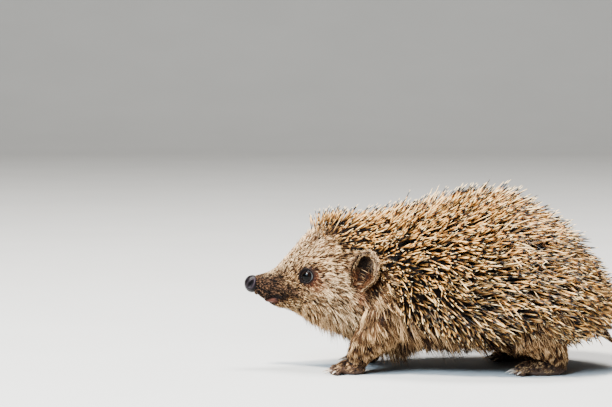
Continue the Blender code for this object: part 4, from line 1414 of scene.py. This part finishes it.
def trunk_fur_roots():
    """(station, angle) of the trunk's hairs, clear of legs and mouth, and few on the lower lip."""
    s, angle = hull_roots(fur_density)
    p = skin_frame(s, angle)[0]
    keep = ~inside_legs(p, 1.0 * MM) & (muzzle_gap(p, MOUTH) > 0.5)
    keep &= ~on_lip(p) | (RNG.random(len(p)) < 0.3)
    return s[keep], angle[keep]


def trunk_fur(strands, ear_trees):
    """The fur of head, throat, flanks and belly, with longer guard hairs among it."""
    s, angle = trunk_fur_roots()
    p, normal, back, down = skin_frame(s, angle)
    cup, cup_front, cup_high = ear_hollow(p)
    x, degrees, count = p[:, 0] / MM, degrees_down(angle), len(p)
    broad, fine = Waves(16 * MM)(p)[:, 0], Waves(5 * MM)(p)[:, 0]
    noise = 0.14 * broad + 0.12 * fine + RNG.normal(0, 0.17, count)
    lie = swirl(fur_lie(p, normal, back, down, angle), normal, noise)
    throat = ease(degrees, 108, 145) * ease(x, -98, -68) * (1 - ease(x, -34, -14))
    shoulder = bump_at(np.stack([x, degrees], 1), (-30, 100), (22, 26))
    near_eye = (1 - ease(eye_gap(p), LID_EDGE, 9.5)) * (x < -60)
    long = ease(x, -72, -30)

    length = np.interp(x, FUR_X, FUR_LENGTH) * MM
    length *= (1 + 1.0 * throat + 0.35 * shoulder) * (1 - 0.3 * ease(degrees, 150, 175) * ease(x, -10, 10))
    length *= (1 - 0.66 * near_eye) * (1 - 0.72 * cup) * np.where(on_lip(p), 0.5, 1.0)
    guard = RNG.random(count) < 0.12 * (1 - cup)
    length *= RNG.uniform(0.72, 1.22, count) * np.where(guard, 1.35, 1.0)
    width = np.interp(x, FUR_X, FUR_WIDTH) * MM * RNG.uniform(0.75, 1.25, count) * (1 - 0.3 * near_eye)
    lift = np.radians(np.interp(x, *FUR_LIFT)) * (1 - 0.35 * near_eye) + RNG.normal(0, 0.12, count)
    lift += np.where(guard, 0.14, 0) + 0.25 * throat + 0.3 * ease(degrees, 95, 130) * (1 - ease(x, -80, -60))
    curl = lift * RNG.uniform(0.3, 1.0, count) * (1 - 0.7 * throat)
    droop = 0.9 * throat + 0.55 * ease(degrees, 85, 130) * ease(x, -60, -35)
    path = strands.grow(p, normal, lie, lift, curl, length, droop, 0.5 * MM)
    path, group = strands.clump(path, 3 + 5 * long, 0.45 + 0.25 * long)

    clear = keep_clear(path, ear_trees, x)
    crossing = np.maximum(ear_hollow(path[:, 2])[0], ear_hollow(path[:, 3])[0]) * (1 - cup)
    clear &= RNG.random(count) > 0.75 * crossing
    marks = markings(p) * (1 - cup)[:, None] + hollow_marks_light_and_shade(cup_front, cup_high) * cup[:, None]
    # Painted shade: hairs that cross into an ear's hollow take the dark mark.
    marks[:, DARK] = np.maximum(marks[:, DARK], 0.7 * crossing)
    marks[:, RED] *= RNG.uniform(0.35, 1.0, count) ** (x < -60)
    by_mouth = bell(muzzle_gap(p, MOUTH), 1.7) * (x > -104)
    # Painted shade: the hairs along the mouth's crease and in an ear's hollow are darkened.
    shade = (1 - 0.75 * by_mouth) * (1 - 0.75 * cup)
    own = 0.55 - 0.25 * long
    strands.add(path, normal, width, hull_uv(s, angle), marks, clear, group, 1.8, shade, own)


def dome_fur(strands):
    """The shortest hairs, round the edge of the nose pad."""
    count = DOME_HAIRS
    angle = RNG.uniform(-math.pi, math.pi, count)
    turn = RNG.uniform(0.0, 0.95, count)
    first = np.zeros(count)
    ring, normal, back, _ = skin_frame(first, angle)
    centre = np.array((ring[0, 0], 0, ring[:, 2].mean()))
    p = np.array([dome(r, centre, t) for r, t in zip(ring, turn)])
    normal = unit(normal * np.cos(turn)[:, None] - np.array((1, 0, 0)) * np.sin(turn)[:, None])
    lie = lay(back, normal, 0.25)
    lift = np.radians(18) + RNG.normal(0, 0.1, count)
    length = RNG.uniform(1.0, 1.7, count) * MM
    path = strands.grow(p, normal, lie, lift, lift, length, sink=0.2 * MM)
    strands.add(path, normal, 0.12 * MM, hull_uv(first, angle), markings(p), contrast=1.5)


def join_fur(strands, skin, ear_trees, leg_trees):
    """Hairs on the skin's rounded joins with the ears and legs, which lie off the hull."""
    p, normal = mesh_samples(skin.data, 2.6)
    p = p - SHIFT
    near = (p[:, 0] > -66 * MM) & (p[:, 2] > 20 * MM) & (np.abs(HULL.height(p)) < 3.5 * MM)
    p, normal = p[near], normal[near]
    ear_gap, leg_gap = (
        np.array([min(tree.find_nearest(q)[3] for tree in trees) for q in p]) / MM
        for trees in (ear_trees, leg_trees)
    )
    by_ear = (ear_gap > 0.15) & (ear_gap < 3.2)
    keep = (by_ear | (leg_gap < 3.2)) & (ear_hollow(p)[0] < 0.5)
    p, normal, by_ear = p[keep], normal[keep], by_ear[keep]
    x, count = p[:, 0] / MM, len(p)
    lie = lay(np.where(by_ear[:, None], (0.75, 0, -0.65), (0.45, 0, -0.90)), normal, 0.25)
    lift = math.radians(24) + RNG.normal(0, 0.12, count)
    length = np.where(by_ear, 4.6, 0.75 * np.interp(x, FUR_X, FUR_LENGTH))
    length = length * RNG.uniform(0.7, 1.3, count) * MM
    path = strands.grow(p, normal, lie, lift, 0.8 * lift, length, 0.3)
    station = HULL.station_at(p[:, 0])
    angle = np.arctan2(p[:, 1], p[:, 2] - HULL.sizes(station)[:, 3])
    marks = markings(p)
    marks[:, BROWN] = np.maximum(marks[:, BROWN], 0.5)
    width = RNG.uniform(0.18, 0.28, count) * MM
    path, group = strands.clump(path, 4, 0.5)
    clear = keep_clear(path, ear_trees, x)
    strands.add(path, normal, width, hull_uv(station, angle), marks, clear, group, 1.5)


def leg_fur(strands, legs):
    """Short hair on feet and toes, longer up the leg, with bare soles and toe ends."""
    for index, (name, mesh) in enumerate(legs.items()):
        p, normal = mesh_samples(mesh, 3.4)
        _, _, foot, size, toe_length, _ = leg_plan(name)
        z = p[:, 2] / MM
        keep = RNG.random(len(p)) < np.interp(z, (0, 10, 30), (1.0, 0.75, 0.45))
        sole = (normal[:, 2] < -0.35) & (z < 4.5)
        toe_end = p[:, 0] < foot[0] - size[0] * 0.55 - toe_length * 0.72
        keep &= (HULL.height(p) > -0.3 * MM) & ~sole & ~toe_end & (z > 0.8)
        p, normal, z = p[keep], normal[keep], z[keep]
        count = len(p)
        forward = ease(-z, -10, -5)[:, None]
        way = np.array((0.35, 0, -1.0)) * (1 - forward) + np.array((-1.0, 0, -0.2)) * forward
        noise = 0.2 * Waves(6 * MM)(p)[:, 0] + RNG.normal(0, 0.15, count)
        lie = swirl(along_surface(way, normal), normal, noise)
        length = np.interp(z, (0, 6, 12, 20, 32), (1.6, 2.2, 4.0, 7.0, 11.0)) * MM
        length *= RNG.uniform(0.75, 1.2, count)
        width = np.interp(z, (0, 8, 30), (0.15, 0.20, 0.33)) * MM * RNG.uniform(0.8, 1.2, count)
        lift = np.radians(np.interp(z, (0, 8, 30), (10, 16, 24))) + RNG.normal(0, 0.06, count)
        path = strands.grow(p, normal, lie, lift, 0.8 * lift, length, 0.2)
        path, group = strands.clump(path, 7, np.interp(z, (0, 10, 30), (0.1, 0.25, 0.5)))
        turn = np.arctan2(p[:, 1] - foot[1], p[:, 0] - foot[0]) / (2 * math.pi) + 0.5
        uv = np.stack([0.75 + 0.23 * turn, 0.02 + 0.16 * index + 0.14 * z / 45], axis=1)
        marks = markings(p)
        marks[:, DARK] = 0.55 * ease(-z, -16, -6)
        marks[:, PALE] *= 0.3
        marks[:, BROWN] = 0.7
        strands.add(path, normal, width, uv, marks, (path[:, :, 2] > 0.3 * MM).all(1), group, 1.3)


def ear_roots(face, count):
    """Random shares across and up an ear's face, or along its rim."""
    if face != "rim":
        return RNG.uniform(-0.97, 0.97, count), 0.96 * RNG.random(count) ** 0.8
    edge = RNG.uniform(-1, 1, count)
    at_top = np.abs(edge) < 0.45
    a = np.where(at_top, edge / 0.45, np.sign(edge))
    return a, np.where(at_top, 0.975, 0.97 * (1 - (np.abs(edge) - 0.45) / 0.55))


def ear_fur(strands, side):
    """Short fuzz on both faces of an ear and along its rim."""
    for face, (depth, count, degrees, long, map_row) in EAR_FUR.items():
        a, h = ear_roots(face, count)
        p, step = ear_points(side, a, h, depth), 0.01
        across = unit(ear_points(side, a + step, h, depth) - p)
        up = unit(ear_points(side, a, h + step, depth) - p)
        normal = unit(np.cross(across, up))
        normal *= np.sign((normal * -ear_axes(side)[2]).sum(1))[:, None]
        outward = np.sign(a) * np.abs(a) ** 3
        way = up * np.where(np.abs(a) < 0.9, 1, 0.4)[:, None] + across * outward[:, None]
        # Painted shade: the fuzz on the back and the rim turns dark towards the front edge, below the top,
        # with the shaded hollow.
        ahead = 1 - ease(-a * side, -0.9, -0.6)
        dark = 0.9 * ahead * (1 - ease(h, 0.75, 0.95))
        marks, shade = marks_with(count, dark=dark, pale=0.6 * (1 - dark)), 1.0
        if face == "front":
            normal = -normal
            way = up + 0.8 * across * np.sign(a)[:, None]
            front = ease(a * side, -0.4, 0.3) * (1 - ease(h, 0.76, 0.88))
            front = front * (1 - ease(np.abs(a), 0.74, 0.9))
            marks = hollow_marks_light_and_shade(front, h)
            # Painted shade: hairs at the front and low in the hollow are darkened.
            shade = 1 - 0.5 * np.maximum(front, 1 - ease(h, 0.25, 0.5))
        keep = HULL.height(p) > (-0.6 if face == "front" else 0.4) * MM
        lie = lay(way, normal, 0.25)
        lift = math.radians(degrees) + RNG.normal(0, 0.12, count)
        length = long * MM * RNG.uniform(0.7, 1.2, count) * (1 + 0.9 * ahead * (face == "rim"))
        path = strands.grow(p, normal, lie, lift, 0.5 * lift, length, sink=0.1 * MM)
        uv = np.stack([0.75 + 0.11 * (side > 0) + 0.10 * (a + 1) / 2, map_row + 0.09 * h], axis=1)
        strands.add(path, normal, 0.13 * MM, uv, marks, keep, contrast=1.7, shade=shade)


def tail_fur(strands, tail):
    p, normal = mesh_samples(tail, 2.5)
    count = len(p)
    lie = along_surface(np.array((0.8, 0, -0.7)), normal)
    lift = 0.3 + RNG.normal(0, 0.08, count)
    path = strands.grow(p, normal, lie, lift, lift, RNG.uniform(2.5, 4.5, count) * MM)
    uv = np.stack([0.75 + 0.2 * RNG.random(count), 0.64 + 0.02 * RNG.random(count)], axis=1)
    strands.add(path, normal, 0.2 * MM, uv, marks_with(count, brown=0.6))


def whiskers(strands):
    """A few long dark hairs in rows on each side of the muzzle."""
    rows = []
    for side in (LEFT, RIGHT):
        for row in range(4):
            for k in range(5):
                x = (-102.5 + 3.0 * k + 0.6 * row) * MM
                z = (53.5 - 2.1 * row - 0.3 * k) * MM
                rows.append((HULL.station_at(x), side * angle_at(x, z)))
    s, angle = np.array(rows).T
    p, normal, back, down = skin_frame(s, angle)
    count = len(p)
    lie = unit(back + 0.25 * down + RNG.normal(0, 0.15, p.shape))
    lift = RNG.uniform(0.55, 0.95, count)
    path = strands.grow(p, normal, lie, lift, 0.8 * lift, RNG.uniform(9, 19, count) * MM)
    strands.add(path, normal, 0.09 * MM, hull_uv(s, angle), marks_with(count, dark=1.0))


def spine_coat(strands, ear_trees):
    """The spines: erect at the crown's front edge, leaning back elsewhere, crossing a little."""
    s, angle = hull_roots(lambda p, a: 2.0 * in_spines(p, a))
    kept = spread(skin_frame(s, angle)[0], SPINE_SPACING)
    s, angle = s[kept], angle[kept]
    p, normal, back, down = skin_frame(s, angle)
    x, degrees, count = p[:, 0] / MM, degrees_down(angle), len(p)
    low = np.clip((degrees - 35) / 75, 0, 1)
    lie = unit(back + down * (low * (0.16 + 0.85 * bell(x + 12, 26)))[:, None])
    patches, groups = Waves(22 * MM, 2)(p), Waves(7 * MM, 2)(p)
    turn = 0.15 * patches[:, 0] + 0.10 * groups[:, 0] + RNG.normal(0, 0.36, count)
    lie = swirl(lie, normal, turn)
    behind_edge = np.maximum(0, -ahead_of_spines(p, angle))
    crest = np.exp(-behind_edge / 14)
    flank = np.clip((degrees - 70) / 60, 0, 1)
    lift = np.radians(31 + 43 * crest - 9 * flank * (1 - crest))
    lift += 0.07 * patches[:, 1] + 0.05 * groups[:, 1] + RNG.normal(0, 0.17, count)
    shorter = 0.46 * np.exp(-behind_edge / 24) + 0.14 * flank
    length = SPINE_LENGTH * (1 - shorter) * RNG.uniform(0.80, 1.10, count)
    curl = RNG.normal(0.10, 0.05, count)
    path = strands.grow(p, normal, lie, lift, curl, length, sink=0.8 * MM)
    clear = keep_clear(path, ear_trees, x) & (RNG.random(count) > 0.32 * flank)
    width = SPINE_RADIUS * RNG.uniform(0.85, 1.15, count) * (1 - 0.25 * crest)
    strands.add(path, normal, width, hull_uv(s, angle), markings(p), clear)


# The stage, lights and camera


def make_stage(looks):
    """A pale floor that curves up far behind the object."""
    profile = [(FLOOR_FRONT, 0.0), (FLOOR_BACK, 0.0)]
    for turn in np.linspace(0.1, math.pi / 2, 12):
        profile.append((FLOOR_BACK + FLOOR_CURVE * math.sin(turn), FLOOR_CURVE * (1 - math.cos(turn))))
    profile.append((FLOOR_BACK + FLOOR_CURVE, FLOOR_TOP))
    points = np.array([(x, y, z) for y, z in profile for x in (-FLOOR_HALF_WIDTH, FLOOR_HALF_WIDTH)])
    faces = np.array([(2 * i, 2 * i + 1, 2 * i + 3, 2 * i + 2) for i in range(len(profile) - 1)])
    floor = new_object("floor", mesh_from("floor", points, [faces]), looks)
    floor.data.polygons.foreach_set("use_smooth", np.ones(len(faces), bool))
    floor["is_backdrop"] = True


def make_lights():
    world = bpy.data.worlds.new("studio")
    bpy.context.scene.world = world
    world.use_nodes = True
    back = world.node_tree.nodes["Background"]
    back.inputs["Color"].default_value = SKY_COLOUR
    back.inputs["Strength"].default_value = SKY_STRENGTH
    for name, (place, size, power, colour) in LIGHTS.items():
        light = bpy.data.lights.new(name, "AREA")
        light.shape = "RECTANGLE"
        light.size, light.size_y = size
        light.energy = power
        light.color = colour
        obj = new_object(name, light)
        obj.location = place
        obj.rotation_mode = "QUATERNION"
        obj.rotation_quaternion = (Vector(LIT_PLACE) - Vector(place)).to_track_quat("-Z", "Y")


def make_camera():
    camera = bpy.data.cameras.new("camera")
    camera.lens = CAMERA_LENS
    camera.sensor_width = CAMERA_SENSOR
    camera.clip_start, camera.clip_end = 0.05, 30
    obj = new_object("camera", camera)
    centre = Vector(VIEW_CENTRE) + Vector(SHIFT)
    back = Vector((0, -math.cos(CAMERA_TILT), math.sin(CAMERA_TILT)))
    obj.location = centre + back * CAMERA_DISTANCE
    obj.rotation_euler = (math.pi / 2 - CAMERA_TILT, 0, 0)
    bpy.context.scene.camera = obj


def main():
    legs = {name: leg_mesh(name) for name in LEG_NAMES}
    ears = {side: ear_mesh(side) for side in (LEFT, RIGHT)}
    tail = tail_mesh()
    skin = make_skin(legs, ears, tail, skin_looks())
    eye = eye_looks()
    make_eye("left_eye", LEFT, eye)
    make_eye("right_eye", RIGHT, eye)
    make_nose(nose_looks())
    claw = claw_looks()
    for name in LEG_NAMES:
        make_claws(name, claw)
    ear_trees, leg_trees = ([tree_of(mesh) for mesh in group.values()] for group in (ears, legs))

    spines = Strands((0, 0.10, 0.40, 0.72, 0.90, 1), (0.62, 0.88, 1.0, 0.92, 0.52), 6, 1.0)
    spine_coat(spines, ear_trees)
    spines.build("spines", spine_looks(), ("neck", "torso_front", "torso_rear"))

    hair = fur_looks()
    fur = Strands((0, 0.35, 0.7, 1), (0.8, 1.0, 0.62), 3, 0.5)
    trunk_fur(fur, ear_trees)
    dome_fur(fur)
    join_fur(fur, skin, ear_trees, leg_trees)
    leg_fur(fur, legs)
    for side in (LEFT, RIGHT):
        ear_fur(fur, side)
    tail_fur(fur, tail)
    fur.build("fur", hair, FLESH)

    long_hairs = Strands((0, 0.15, 0.35, 0.55, 0.78, 1), (1.0, 0.9, 0.75, 0.55, 0.35), 4, 1.0)
    whiskers(long_hairs)
    long_hairs.build("whiskers", hair, ("head",))

    make_stage(floor_looks())
    make_lights()
    make_camera()
    for mesh in list(bpy.data.meshes):
        if not mesh.users:
            bpy.data.meshes.remove(mesh)


main()
bpy.context.view_layer.update()
boxes = {"cad": CAD_BOX, "visual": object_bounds()}
{name: [list(corner) for corner in box] for name, box in boxes.items()}
